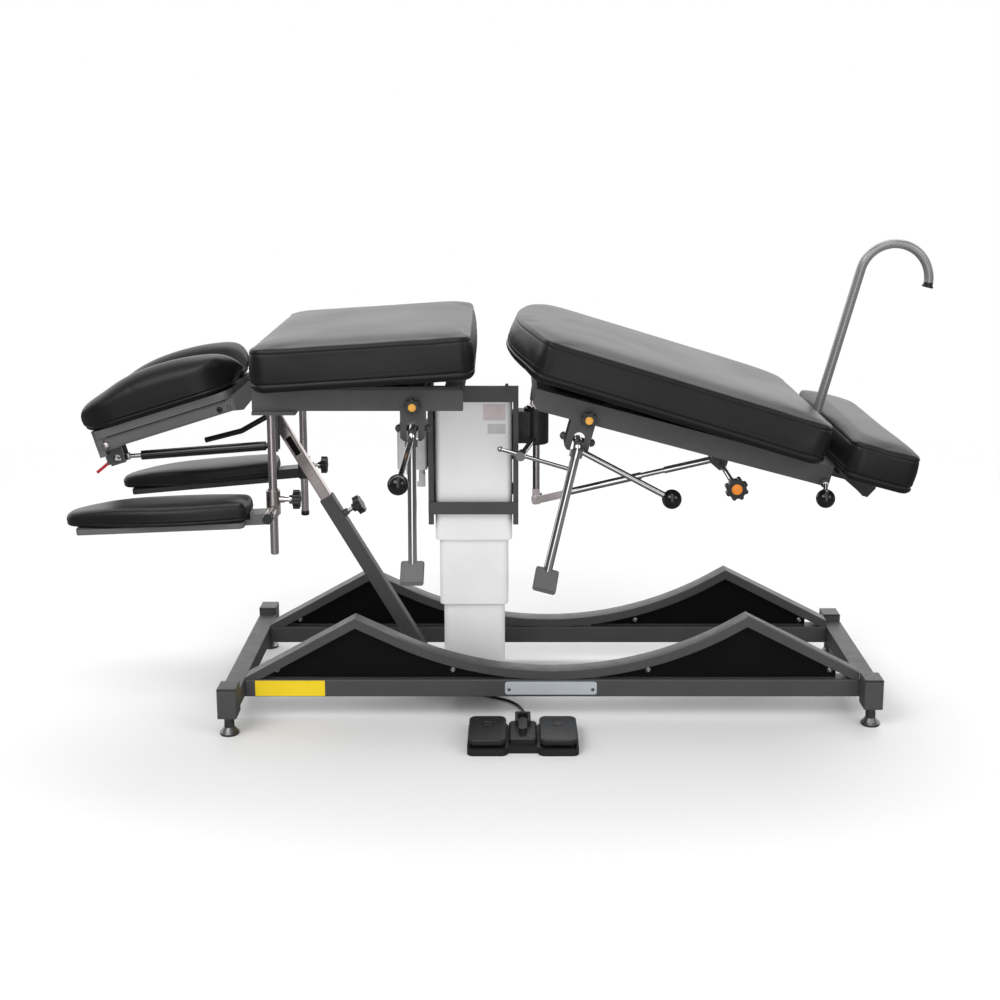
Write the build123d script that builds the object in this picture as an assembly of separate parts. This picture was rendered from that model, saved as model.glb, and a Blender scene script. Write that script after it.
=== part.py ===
from build123d import *
import math
import os

# Chiropractic table with a lifting column, tilting leg section, drop sections,
# tilting head section, two armrests and a two-pedal foot switch.
# Millimetres. X runs along the table towards the foot end, Y away from the operator's side,
# Z up. The pieces are laid out with X = 0 on the column's axis and Y = 0 on the middle plane,
# and every exported piece is then shifted so that the origin is under the middle of the table.
FRAME_X = -73.0
FRAME_Y = 85.5

# Base frame
RAIL = 40.0                     # square tube of the two long rails
RAIL_BOTTOM = 53.0
RAIL_TOP = RAIL_BOTTOM + RAIL
RAIL_INNER_Y = 150.0            # rails lie between this and RAIL_INNER_Y + RAIL on both sides
TUBE_WALL = 2.5
POST = (42.0, 50.0)             # corner post section, along X and along Y
POST_BOTTOM = 42.0
POST_TOP = 107.0
HEAD_BEAM_X = -531.5            # axis of the cross beam at the head end
HEAD_BEAM_HALF = 290.0          # half of its length over the posts
FOOT_BEAM_X = 876.0
FOOT_BEAM_HALF = 240.0
ARCH_THICK = 20.0
ARCH_RADIUS = 800.0
ARCH_LOW_X = 172.0              # the arch touches the rail here
ARCH_HEAD_PEAK = (-264.0, 234.0)
ARCH_FOOT_PEAK = (603.0, 238.0)
ARCH_HEAD_END = (-512.0, 96.0)  # where the arch's top meets the beams
ARCH_FOOT_END = (856.0, 108.0)
FOOT_DISC = 42.0

# Lifting column
STAGE_WALL = 6.0
COLUMN_X = -3.0
STAGE_UPPER = (174.0, 154.0)
STAGE_MIDDLE = (156.0, 136.0)
STAGE_LOWER = (139.0, 119.0)
STAGE_CORNER = 14.0
BED_TOP = 68.0                  # top of the cross member that carries the column
UPPER_SPAN = (380.0, 702.0)
MIDDLE_SPAN = (225.0, 545.0)
LOWER_SPAN = (BED_TOP, 385.0)

# Yoke round the column
YOKE_X = (COLUMN_X - 101.0, COLUMN_X + 101.0)
YOKE_HALF_Y = 87.0
YOKE_BOTTOM = 420.0
YOKE_TOP = 738.0
YOKE_FOOT_TOP = 706.0            # the foot-side web is lower than the front bar
PLATE = 5.0

# Chest section, level when it has dropped
CHEST_X = (-465.0, -20.0)       # frame, head end and foot end
CHEST_BOTTOM = 711.0
BAR_HEIGHT = 45.0
BAR_WIDTH = 25.0
FRAME_HALF_Y = 240.0
CHEST_COCK = 3.7                # degrees by which the cocked cushion stands up
CHEST_HINGE = (-452.0, CHEST_BOTTOM + BAR_HEIGHT + 3.5)
CUSHION_HALF_Y = 308.0
CHEST_CUSHION_X = (-464.0, 3.0)
CHEST_CUSHION_Z = (CHEST_BOTTOM + BAR_HEIGHT + 8.0, 858.0)

# Leg section: local x along the frame, local z square to it, origin on the tilt axis
TILT_X, TILT_Z = 139.0, 690.0
LEG_SLOPE = 15.0
LEG_BOTTOM = 20.6
LEG_TOP = LEG_BOTTOM + BAR_HEIGHT
LEG_FRAME_X = (-20.0, 634.0)
LEG_COCK = 2.0
LEG_HINGE = (598.0, LEG_TOP + 3.5)
LEG_CUSHION_X = (-102.0, 606.0)
LEG_CUSHION_Z = (LEG_TOP + 8.0, 160.0)
FOOT_CUSHION_X = (648.0, 790.0)
FOOT_CUSHION_Z = (57.0, 143.0)
CANE_X = 625.0
CANE_RADIUS = 10.5
CANE_BEND = 78.0

# Head section: local x runs towards the chest, origin on its tilt axis
HEAD_X, HEAD_Z = -480.0, 742.0
HEAD_SLOPE = 17.5
HEAD_HALF_Y = 140.0
HEAD_BOARD_Z = (-8.0, 10.0)

# Levers of the two drop sections, measured from the frame's underside
CHEST_LEVER_X = -127.0
LEG_LEVER_X = 93.5
LEG_LEAN = 8.0                  # by which the leg lever's pedal stands off towards the foot end
LEVER_BOX = (52.0, 60.0, 65.0)
AXLE_DROP = 43.0
AXLE_Y = -212.0
PEDAL_ROD_Y = -262.0
PEDAL_DROP = 322.0
BALL = 42.0
LEVER_REACH = 220.0
LEVER_FALL = 49.0
RING_DROP = 63.0                # of the ball lever's ring under the frame

# Head prop, a gas spring, from its pivot under the chest frame to the one under the head frame
SPRING_FIXED = (-450.0, 600.0)
SPRING_HEAD = (-797.0, 573.0)

# Slanting two-part strut from the base to the chest frame
STRUT_FOOT = (-116.0, 72.0)
STRUT_TOP = (-464.0, 666.0)
STRUT_OUTER = 32.0
STRUT_INNER = 25.0
STRUT_CLAMP = 398.0              # of the clamp's boss from the foot pivot
STRUT_OUTER_LENGTH = 452.0
STRUT_OVERLAP = 150.0

# Tilt strut of the leg section, from the king pin's fork to the leg frame
PROP_FOOT = (137.0, 456.0)
PROP_HEAD = (550.0, 552.0)

# Swing bearing
PIN_RADIUS = 8.0
HOUSING = (589.0, 672.0)

# Armrests
ARM_POST_X = -428.0
ARM_POST_Y = 225.0
ARM_POST_RADIUS = 9.0
NEAR_COLLAR_Z = 509.0
FAR_COLLAR_Z = 478.0
NEAR_ARM_SLOPE = 2.4
FAR_ARM_SLOPE = 5.2
COLLAR_HEIGHT = 60.0

# Foot switch
SWITCH_X = 107.0
SWITCH_Y = (-384.0, -240.0)
CORD_RADIUS = 3.0
CORD_ROUTE = [
    (119.0, -239.3, 20.0),
    (119.0, -218.0, 17.0),
    (116.5, -192.0, 8.0),
    (111.0, -160.0, 3.6),
    (101.0, -124.0, 3.3),
    (80.0, -94.0, 3.3),
    (48.0, -76.0, 3.3),
    (14.0, -60.0, 3.3),
    (-14.0, -47.0, 6.5),
    (-31.0, -40.0, 24.0),
    (-32.0, -40.0, 46.0),
]

nodes = {}


# Helpers
def block(x, y, z):
    """A box given by its low and high limits on each axis."""
    middle = Pos((x[0] + x[1]) / 2, (y[0] + y[1]) / 2, (z[0] + z[1]) / 2)
    return middle * Box(x[1] - x[0], y[1] - y[0], z[1] - z[0])


def rod(start, end, radius):
    """A round bar from one point to another."""
    start = Vector(*start)
    axis = Vector(*end) - start
    bar = Cylinder(radius, axis.length, align=(Align.CENTER, Align.CENTER, Align.MIN))
    return Plane(origin=start, z_dir=axis).location * bar


def pipe(start, end, radius, wall):
    return rod(start, end, radius) - rod(start, end, radius - wall)


def upright(sketch, y_low, y_high):
    """Extrudes a sketch drawn in X and Z from one Y to another."""
    return extrude(Plane.XZ.offset(-y_high) * sketch, amount=y_high - y_low)


def flat(sketch, z_low, z_high):
    return extrude(Pos(0, 0, z_low) * sketch, amount=z_high - z_low)


def outline(*points):
    return make_face(Polyline(*points, close=True))


def mirrored(shape):
    return mirror(shape, about=Plane.XZ)


def square_tube(x, y, z, wall, along):
    """A hollow box tube, open at both ends of the named axis."""
    grow = {"x": (1, 0, 0), "y": (0, 1, 0), "z": (0, 0, 1)}[along]
    inner = []
    for (low, high), more in zip((x, y, z), grow):
        step = -1.0 if more else wall
        inner.append((low + step, high - step))
    return block(x, y, z) - block(*inner)


def cushion(x, half_y, z, corner, top_edge, bottom_edge):
    """A padded block with rounded corners and softened edges."""
    plan = Pos((x[0] + x[1]) / 2, 0) * RectangleRounded(x[1] - x[0], 2 * half_y, corner)
    pad = flat(plan, *z)
    pad = fillet(pad.faces().sort_by(Axis.Z)[-1].edges(), top_edge)
    return fillet(pad.faces().sort_by(Axis.Z)[0].edges(), bottom_edge)


def lobed_knob(radius, thick, lobes, bore):
    """A knob with rounded lobes, its back on z = 0 and its face towards +Z."""
    core = Circle(radius * 0.82)
    grips = PolarLocations(radius * 0.8, lobes) * Circle(radius * 0.2)
    grip = extrude(Sketch() + core + grips, amount=thick)
    hub = Pos(0, 0, -0.3 * thick) * Cylinder(radius * 0.45, 0.6 * thick)
    return grip + hub - Pos(0, 0, -0.5 * thick) * Cylinder(bore, thick)


def facing(point, direction):
    """A place at a point whose local Z points in the direction."""
    return Plane(origin=point, z_dir=direction).location


# Base
def rails():
    length = (HEAD_BEAM_X + POST[0] / 2, FOOT_BEAM_X - POST[0] / 2)
    side = (RAIL_INNER_Y, RAIL_INNER_Y + RAIL)
    far = square_tube(length, side, (RAIL_BOTTOM, RAIL_TOP), TUBE_WALL, "x")
    return Compound([mirrored(far), far])


def beam(x, half):
    """A cross beam between two corner posts, all one weldment."""
    wide = (x - POST[0] / 2, x + POST[0] / 2)
    inner = half - POST[1]
    tube = square_tube(wide, (-inner, inner), (RAIL_BOTTOM, RAIL_TOP), TUBE_WALL, "y")
    post = block(wide, (inner, half), (POST_BOTTOM, POST_TOP))
    post -= block((wide[0] + 3, wide[1] - 3), (inner + 3, half - 3), (POST_BOTTOM + 6, POST_TOP + 1))
    post -= Pos(x, half - POST[1] / 2, POST_BOTTOM) * Cylinder(5.2, 20)
    return tube + post + mirrored(post)


def tangent_point(peak, middle, radius, side):
    """Where a straight line from the peak touches the arch's arc."""
    dx, dz = peak[0] - middle[0], peak[1] - middle[1]
    reach = math.hypot(dx, dz)
    angle = math.atan2(dz, dx) - side * math.acos(radius / reach)
    return (middle[0] + radius * math.cos(angle), middle[1] + radius * math.sin(angle))


def under_arch():
    """Everything below the arch's top line, drawn in X and Z."""
    middle = (ARCH_LOW_X, RAIL_TOP + ARCH_THICK + ARCH_RADIUS)
    start = tangent_point(ARCH_HEAD_PEAK, middle, ARCH_RADIUS, -1)
    end = tangent_point(ARCH_FOOT_PEAK, middle, ARCH_RADIUS, 1)
    low = (ARCH_LOW_X, RAIL_TOP + ARCH_THICK)
    slope_in = (ARCH_HEAD_PEAK[1] - ARCH_HEAD_END[1]) / (ARCH_HEAD_PEAK[0] - ARCH_HEAD_END[0])
    slope_out = (ARCH_FOOT_END[1] - ARCH_FOOT_PEAK[1]) / (ARCH_FOOT_END[0] - ARCH_FOOT_PEAK[0])
    first = (ARCH_HEAD_END[0] - 100, ARCH_HEAD_END[1] - 100 * slope_in)
    last = (ARCH_FOOT_END[0] + 100, ARCH_FOOT_END[1] + 100 * slope_out)
    top = [
        Line(first, ARCH_HEAD_PEAK),
        Line(ARCH_HEAD_PEAK, start),
        ThreePointArc(start, low, end),
        Line(end, ARCH_FOOT_PEAK),
        Line(ARCH_FOOT_PEAK, last),
        Line(last, (last[0], -200)),
        Line((last[0], -200), (first[0], -200)),
        Line((first[0], -200), first),
    ]
    return make_face(Wire(top))


def arch_window():
    return block((-510.0, 854.5), (-500, 500), (RAIL_TOP, 400))


def arch_tube(below):
    side = (RAIL_INNER_Y, RAIL_INNER_Y + RAIL)
    shell = below - offset(below, amount=-ARCH_THICK)
    hollow = offset(below, amount=-2.0) - offset(below, amount=2.0 - ARCH_THICK)
    tube = upright(shell, *side) - upright(hollow, side[0] + 2, side[1] - 2)
    return tube & arch_window()


def infill_panels(below):
    """Two dark plates behind each arch, one under each peak."""
    middle = RAIL_INNER_Y + 22.0
    sheet = upright(offset(below, amount=-ARCH_THICK - 0.4), middle, middle + 2.0)
    gap = 105.0
    head = sheet & block((-470.0, ARCH_LOW_X - gap), (0, 300), (RAIL_TOP + 0.4, 400))
    foot = sheet & block((ARCH_LOW_X + gap, 805.0), (0, 300), (RAIL_TOP + 0.4, 400))
    return Compound([head, foot, mirrored(head), mirrored(foot)])


def corners():
    """The four corner post places."""
    for x, half in ((HEAD_BEAM_X, HEAD_BEAM_HALF), (FOOT_BEAM_X, FOOT_BEAM_HALF)):
        for side in (-1, 1):
            yield x, side * (half - POST[1] / 2)


def post_caps():
    caps = []
    for x, y in corners():
        lid = Pos(x, y, POST_TOP + 2.0) * Box(POST[0], POST[1], 4.0)
        lid = chamfer(lid.edges().group_by(Axis.Z)[-1], 1.5)
        plug = Pos(x, y, POST_TOP - 6.0) * Box(POST[0] - 6.4, POST[1] - 6.4, 12.0)
        caps.append(lid + plug)
    return Compound(caps)


def levelling_feet():
    """Bell-shaped feet with a threaded stem into each post."""
    feet = []
    r = FOOT_DISC / 2
    bell = outline((0, 0), (r - 1, 0), (r, 2), (r, 5), (r - 4, 9), (11, 17), (11, 30), (0, 30))
    bell = revolve(Plane.XZ * bell, Axis.Z)
    stem = Pos(0, 0, 41) * Cylinder(5.0, 24)
    nut = extrude(Pos(0, 0, 30) * RegularPolygon(11, 6), amount=POST_BOTTOM - 30)
    for x, y in corners():
        feet.append(Pos(x, y, 0) * (bell + stem + nut))
    return Compound(feet)


def column_bed():
    """The channel under the column, with the cheeks that hold the strut's foot."""
    across = (-RAIL_INNER_Y, RAIL_INNER_Y)
    bed = block((-66, 66), across, (BED_TOP - 6, BED_TOP))
    for side in (-1, 1):
        bed += block(sorted((side * 60, side * 66)), across, (RAIL_BOTTOM, BED_TOP - 6))
    bed -= Pos(-32, -40, BED_TOP - 3) * Cylinder(6, 20)
    gland = Pos(-32, -40, 52) * Cylinder(9, 12) + Pos(-32, -40, 64) * Cylinder(5.8, 14)
    gland -= Pos(-32, -40, 60) * Cylinder(CORD_RADIUS + 0.2, 60)
    x, z = STRUT_FOOT
    cheek = outline(
        (-64, 54), (x + 4, 54), (x - 14, z - 10), (x - 14, z + 6),
        (x - 6, z + 14), (x + 6, z + 14), (-78, 67), (-64, 67),
    )
    for low, high in ((-24.5, -18.5), (18.5, 24.5)):
        bed += upright(cheek, low, high)
    bed += rod((x, -30, z), (x, 30, z), 6.0)
    for side in (-1, 1):
        bed += rod((x, side * 24.5, z), (x, side * 31, z), 10.0)
    return Compound([bed, gland])


# Column
def stage(size, span, closed):
    outer = Pos(COLUMN_X, 0) * RectangleRounded(size[0], size[1], STAGE_CORNER)
    inner = offset(outer, amount=-STAGE_WALL)
    body = flat(outer, *span)
    rim = body.faces().sort_by(Axis.Z)[0].outer_wire().edges()
    body = fillet(rim, 3.0) if closed != "base" else body
    top = span[1] - STAGE_WALL if closed == "top" else span[1] + 1
    return body - flat(inner, span[0] - 1, top)


def lift_spindle():
    """Motor, gearbox and threaded spindle inside the column."""
    motor = Pos(0, 0, BED_TOP + 45) * Cylinder(38, 90)
    box = flat(RectangleRounded(96, 86, 8), BED_TOP + 90, BED_TOP + 125)
    screw = Pos(0, 0, 290) * Cylinder(12, 200)
    return Pos(COLUMN_X, 0, 0) * (motor + box + screw)


def column_yoke():
    """The folded steel carriage that clasps the column's top."""
    x, y = YOKE_X, YOKE_HALF_Y
    yoke = block(x, (-y - 8, -y), (UPPER_SPAN[1], YOKE_TOP))
    tops = (YOKE_TOP, YOKE_FOOT_TOP)
    for face, inward, top in zip(x, (1, -1), tops):
        web = sorted((face, face + inward * PLATE))
        lip = sorted((face, face + inward * 12))
        yoke += block(web, (-y, y), (YOKE_BOTTOM, top))
        yoke += block(lip, (-y, -y + PLATE), (YOKE_BOTTOM, UPPER_SPAN[1] + 3))
        yoke += block(lip, (y - PLATE, y), (YOKE_BOTTOM, UPPER_SPAN[1] + 3))
        stage_face = COLUMN_X - inward * STAGE_UPPER[0] / 2
        yoke += block(sorted((face + inward * PLATE, stage_face)), (-40, 40), (560, 660))
    for side in (-1, 1):
        strap = sorted((side * y, side * (y + PLATE)))
        yoke += block(x, strap, (445, 473))
    bolt = Pos(72, -y - 4, YOKE_TOP + 2) * Cylinder(3.5, 6)
    return yoke + bolt


def control_box():
    """The power unit on the yoke's head side, with its two cable glands."""
    case = flat(Pos(-141.5, 0) * RectangleRounded(67, 120, 6), 540, 634)
    case = fillet(case.faces().sort_by(Axis.Z)[-1].edges(), 2.5)
    tab = block((-110, YOKE_X[0]), (-30, 30), (560, 620))
    glands = Sketch() + Locations((-150, -35), (-121, -35)) * Circle(7)
    hook = block((-128, -114), (-42, -28), (502, 526)) + block((-132, -114), (-42, -28), (496, 506))
    return case + tab + flat(glands, 524, 540) + hook


# Chest section
def section_frame(x, z, bars):
    """Two side bars joined by cross bars; each cross bar is ((x0, x1), (z0, z1))."""
    frame = None
    for side in (-1, 1):
        y = sorted((side * (FRAME_HALF_Y - BAR_WIDTH), side * FRAME_HALF_Y))
        tube = block(x, y, z)
        tube -= block((x[0] + 3, x[1] - 3), (y[0] + 3, y[1] - 3), (z[0] + 3, z[1] - 3))
        frame = tube if frame is None else frame + tube
    inner = FRAME_HALF_Y - BAR_WIDTH
    for across, height in bars:
        frame += block(across, (-inner, inner), height)
    return frame


def knob_hole(x, z):
    """The hole in a side bar for the stud of a tension knob."""
    return rod((x, -FRAME_HALF_Y - 1, z), (x, -FRAME_HALF_Y + 12, z), 5.06)


def lever_box(x, bottom):
    """The box under a section frame that carries the cocking lever's axle."""
    wide, deep, tall = LEVER_BOX
    front, back = -FRAME_HALF_Y, -FRAME_HALF_Y + deep
    left, right = x - wide / 2, x + wide / 2
    box = block((left, right), (front, back), (bottom - tall, bottom))
    box = chamfer(box.edges().filter_by(Axis.Y).group_by(Axis.Z)[0], 7)
    box -= block((left + 5, right - 5), (front + 6, back + 1), (bottom - tall - 1, bottom - 4))
    # The front slot's round top stands above the axle, so that the lever can swing up
    crown = bottom - AXLE_DROP + 9.0
    notch = block((x - 12, x + 12), (front - 1, front + 7), (bottom - tall - 1, crown))
    notch += rod((x, front - 1, crown), (x, front + 7, crown), 12.0)
    axle = rod((left - 1, AXLE_Y, bottom - AXLE_DROP), (right + 1, AXLE_Y, bottom - AXLE_DROP), 6.06)
    return box - notch - axle


def chest_frame():
    x0, x1 = CHEST_X
    z = (CHEST_BOTTOM, CHEST_BOTTOM + BAR_HEIGHT)
    bars = [
        ((x0, x0 + 30), z),
        ((x0 + 95, x0 + 120), z),
        ((YOKE_X[0] - 36, YOKE_X[0]), z),
        ((-60, x1), (YOKE_TOP + 0.5, z[1])),
        ((x0 + 110, YOKE_X[0] - 30), (z[0], z[0] + 2.0)),
    ]
    frame = section_frame(CHEST_X, z, bars)
    frame += block((-58, -26), (-60, 60), (UPPER_SPAN[1], YOKE_TOP + 2))
    frame += lever_box(CHEST_LEVER_X, CHEST_BOTTOM)
    frame -= knob_hole(CHEST_LEVER_X + 1, CHEST_BOTTOM + 11)
    # Cheeks for the strut's upper end, with a bolt on the outside of each
    sx, sz = STRUT_TOP
    cheek = outline((sx - 16, z[0] + 1), (sx + 30, z[0] + 1), (sx + 16, sz - 14), (sx - 12, sz - 14))
    for side in (-1, 1):
        y = sorted((side * 15.5, side * 20.5))
        frame += upright(cheek, *y)
        frame += rod((sx + 2, side * 20.5, sz), (sx + 2, side * 28, sz), 9.0)
    # Lugs for the head section's tilt axis and its gas spring
    lug = outline(
        (x0 + 2, 715), (x0 + 2, 755), (HEAD_X - 4, 755),
        (HEAD_X - 14, 746), (HEAD_X - 14, 738), (HEAD_X - 4, 726),
    )
    for side in (-1, 1):
        y = sorted((side * 122, side * 128))
        frame += upright(lug, *y) - rod((HEAD_X, y[0] - 1, HEAD_Z), (HEAD_X, y[1] + 1, HEAD_Z), 6.0)
    px, pz = SPRING_FIXED
    root = CHEST_BOTTOM + 1
    hang = outline((px - 12, root), (px + 14, root), (px + 12, pz - 12), (px - 10, pz - 12))
    for low, high in ((-64, -58), (-88, -82)):
        frame += upright(hang, low, high)
    frame += rod((px, -88, pz), (px, -58, pz), 5.0)
    return frame + release_arm()


def release_arm():
    """A bent rod that reaches under the head section from the chest frame."""
    points = [(-452, 52, CHEST_BOTTOM + 1), (-478, 52, 644), (-545, 52, 606), (-630, 52, 584)]
    path = FilletPolyline(*points, radius=24)
    return sweep(Plane(origin=path @ 0, z_dir=path % 0) * Circle(6.5), path=path)


def armrest_posts():
    """A plate under each side of the chest frame with a hanging chrome rod."""
    posts = []
    top = CHEST_BOTTOM - 8
    for side in (-1, 1):
        y = sorted((side * (ARM_POST_Y - 22), side * (ARM_POST_Y + 22)))
        plate = block((CHEST_X[0], CHEST_X[0] + 92), y, (top, CHEST_BOTTOM))
        low = 394.0 if side < 0 else 361.0
        bar = rod((ARM_POST_X, side * ARM_POST_Y, low), (ARM_POST_X, side * ARM_POST_Y, top), ARM_POST_RADIUS)
        bar = chamfer(bar.faces().sort_by(Axis.Z)[0].edges(), 1.5)
        posts.append(plate + bar)
    return Compound(posts)


def drop_board(x, z):
    """The steel plate that carries a drop cushion."""
    return block(x, (-FRAME_HALF_Y + 6, FRAME_HALF_Y - 6), z)


# Levers of a drop section, in local axes: x along the section, z = 0 at the frame's underside
def pedal_rod(lean):
    """Start and end of the lever's straight rod; it leans towards the foot end."""
    return Vector(0, PEDAL_ROD_Y, -AXLE_DROP), Vector(lean, PEDAL_ROD_Y - 18, -PEDAL_DROP)


def pedal_lever(lean):
    z = -AXLE_DROP
    half = LEVER_BOX[0] / 2
    lever = rod((-half - 4, AXLE_Y, z), (half + 4, AXLE_Y, z), 6.0)
    nut = Sphere(9)
    for side in (-1, 1):
        dome = nut & Rot(0, side * 90, 0) * Pos(0, 0, 5) * Cylinder(9, 10)
        lever += Pos(side * (half + 4), AXLE_Y, z) * dome
    top, end = pedal_rod(lean)
    arm = FilletPolyline((0, AXLE_Y, z), top, end, radius=12)
    lever += sweep(Plane(origin=arm @ 0, z_dir=arm % 0) * Circle(9.5), path=arm)
    plate = extrude(Pos(0, -22, 0) * RectangleRounded(50, 58, 6), amount=6)
    sole = extrude(Pos(0, -22, 6) * RectangleRounded(46, 52, 5), amount=4)
    foot = Pos(lean, PEDAL_ROD_Y - 16, -PEDAL_DROP - 4) * Rot(40, 0, 0) * (plate + sole)
    return lever + foot


def lever_place(lean):
    """Where the ball lever's ring sits: on the straight rod, its local Z along the rod."""
    top, end = pedal_rod(lean)
    way = (top - end).normalized()
    spot = top - way * ((RING_DROP - AXLE_DROP) / way.Z)
    return Plane(origin=spot, x_dir=(1, 0, 0), z_dir=way).location


def ball_lever(lean, azimuth):
    """A chrome arm with a clamp ring round the pedal rod and a ball on its end."""
    start = (12, 0, 6)
    end = (LEVER_REACH, 0, -LEVER_FALL)
    arm = rod(start, end, 6.5)
    ring = pipe((0, 0, -8), (0, 0, 8), 14.0, 4.44)
    arm -= rod((0, 0, -20), (0, 0, 30), 9.56)
    lever = arm + ring + Pos(*end) * Sphere(BALL / 2)
    return lever_place(lean) * Rot(0, 0, azimuth) * lever


def tension_knob(radius, y_face):
    """A lobed knob on a short stud, facing the operator's side."""
    knob = lobed_knob(radius, 12, 8, 0.5)
    stud = Pos(0, 0, -6) * Cylinder(5, 12)
    return facing((0, y_face - 8, 0), (0, -1, 0)) * (knob + stud)


# Leg section, in its local axes
def leg_frame():
    z = (LEG_BOTTOM, LEG_TOP)
    x0, x1 = LEG_FRAME_X
    bars = [
        ((x0, x0 + 40), z),
        ((150, 175), z),
        ((PROP_LOCAL[0] - 20, PROP_LOCAL[0] + 20), z),
        ((x1 - 26, x1 + 8), (51.0, LEG_TOP)),
        ((15, PROP_LOCAL[0] - 15), (LEG_BOTTOM, LEG_BOTTOM + 2.0)),
    ]
    frame = section_frame(LEG_FRAME_X, z, bars)
    slant = outline((x0 - 1, LEG_BOTTOM - 1), (x0 + 16, LEG_BOTTOM - 1), (x0 - 1, LEG_BOTTOM + 12))
    frame -= upright(slant, -300, 300)
    frame += lever_box(LEG_LEVER_X, LEG_BOTTOM)
    frame -= knob_hole(LEG_LEVER_X + 9, LEG_BOTTOM + 11)
    # Hinge lugs beside the king pin's head
    lug = outline((-17, LEG_BOTTOM + 1), (17, LEG_BOTTOM + 1), (13, -8), (5, -13), (-5, -13), (-13, -8))
    for side in (-1, 1):
        y = sorted((side * 24, side * 32))
        frame += upright(lug, *y) - rod((0, y[0] - 1, 0), (0, y[1] + 1, 0), 7.06)
    # Fork for the tilt strut's upper end
    px, pz = PROP_LOCAL
    root = LEG_BOTTOM + 1
    fork = outline(
        (px - 18, root), (px + 26, root), (px + 25, pz - 14), (px + 12, pz - 20), (px - 13, pz - 8)
    )
    for side in (-1, 1):
        frame += upright(fork, *sorted((side * 17, side * 23)))
    frame += rod((px, -17.5, pz), (px, 17.5, pz), 5.0)
    lx, lz = LOCK_AXIS
    frame -= rod((lx, -25, lz), (lx, -16, lz), 6.06)
    # Socket for the hooked handle
    frame += rod((CANE_X, 0, 12), (CANE_X, 0, LEG_TOP), CANE_RADIUS + 6)
    frame -= rod((CANE_X, 0, 16), (CANE_X, 0, LEG_TOP + 1), CANE_RADIUS + 0.08)
    # Boss for the lock lever of the foot slide
    frame += rod((x1 - 12, -FRAME_HALF_Y - 10, 28), (x1 - 12, -FRAME_HALF_Y + 4, 28), 9.0)
    return frame


def foot_slide():
    """Two square tubes that run in the leg frame, a plate and a gusset."""
    slide = None
    for side in (-1, 1):
        y = sorted((side * 95, side * 120))
        tube = square_tube((470, 770), y, (24.5, 49.5), TUBE_WALL, "x")
        slide = tube if slide is None else slide + tube
    slide += block((652, 776), (-225, 225), (49.5, 55.5))
    rib = outline((672, 50), (770, 50), (776, 20), (764, -4), (752, -2), (690, 28))
    for y in ((-106, -100), (100, 106)):
        slide += upright(rib, *y)
    slide += block((752, 764), (-106, 106), (-4, 8))
    return slide


def foot_lock_lever():
    shaft = rod((622, -FRAME_HALF_Y - 10, 28), (622, -FRAME_HALF_Y - 20, 28), 6.0)
    arm = rod((622, -FRAME_HALF_Y - 17, 28), (624, -FRAME_HALF_Y - 36, 8), 5.0)
    ball = Pos(624, -FRAME_HALF_Y - 44, 4) * Sphere(BALL / 2 - 1)
    return shaft + arm + ball


def cane_handle():
    """A bent tube handle that stands in its socket, with an end cap."""
    straight_top = 475.0
    turn = math.radians(178)
    middle = Vector(CANE_X + CANE_BEND, 0, straight_top)
    mid = middle + Vector(-math.cos(turn / 2), 0, math.sin(turn / 2)) * CANE_BEND
    end = middle + Vector(-math.cos(turn), 0, math.sin(turn)) * CANE_BEND
    start = Vector(CANE_X, 0, 16.5)
    path = Wire([Line(start, (CANE_X, 0, straight_top)), ThreePointArc((CANE_X, 0, straight_top), mid, end)])
    section = Circle(CANE_RADIUS) - Circle(CANE_RADIUS - 2.5)
    tube = sweep(Plane(origin=start, z_dir=(0, 0, 1)) * section, path=path)
    heading = Vector(math.sin(turn), 0, math.cos(turn))
    cap = facing(end, heading) * Pos(0, 0, 0.5) * Cylinder(CANE_RADIUS + 2, 5)
    return tube + cap


# Head section, in its local axes
def head_frame():
    z0, z1 = HEAD_BOARD_Z
    board = flat(Pos(-217, 0) * RectangleRounded(335, 250, 30), z0, z1)
    slot = flat(Pos(-190, 0) * SlotOverall(230, 84), z0 - 1, z1 + 1)
    frame = board - slot
    for side in (-1, 1):
        y = sorted((side * 100, side * 120))
        bar = block((-378, -54), y, (-37, -10.5))
        bar -= block((-374, -58), (y[0] + 3, y[1] + 1) if side > 0 else (y[0] - 1, y[1] - 3), (-34, -13.5))
        arm = outline((-60, -38), (-60, -6), (-14, 13), (6, 13), (12, 6), (12, -6), (6, -13), (-40, -42))
        plate = sorted((side * 112, side * 119))
        frame += bar + upright(arm, *plate)
        frame -= rod((0, plate[0] - 1, 0), (0, plate[1] + 1, 0), 6.06)
        frame += block((-378, -362), y, (-50, -37)) + block((-370, -350), y, (-12, -7.9))
    frame += block((-70, -54), (-119, 119), (-37, -7.9))
    frame += block((-378, -362), (-119, 119), (-37, -7.9))
    # Release block and the fork for the gas spring's rod
    frame += block((-400, -370), (-24, 24), (-84, -36))
    frame -= block((-401, -372), (-7.6, 7.6), (-85, -58))
    frame += rod((RELEASE_PIN[0], -8, RELEASE_PIN[1]), (RELEASE_PIN[0], 8, RELEASE_PIN[1]), 2.5)
    px, pz = HEAD_FORK
    fork = outline((px - 18, -36), (px + 18, -36), (px + 17, pz - 13), (px - 17, pz - 13))
    for low, high in ((-92, -86), (-60, -54)):
        frame += upright(fork, low, high) - rod((px, low - 1, pz), (px, high + 1, pz), 9.0)
    frame += block((px - 18, px + 18), (-119, -54), (-40, -34))
    return frame


def head_pin():
    """The axle of the head section's tilt hinge, held by the chest frame's lugs."""
    return rod((HEAD_X, -130, HEAD_Z), (HEAD_X, 130, HEAD_Z), 6.0)


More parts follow.
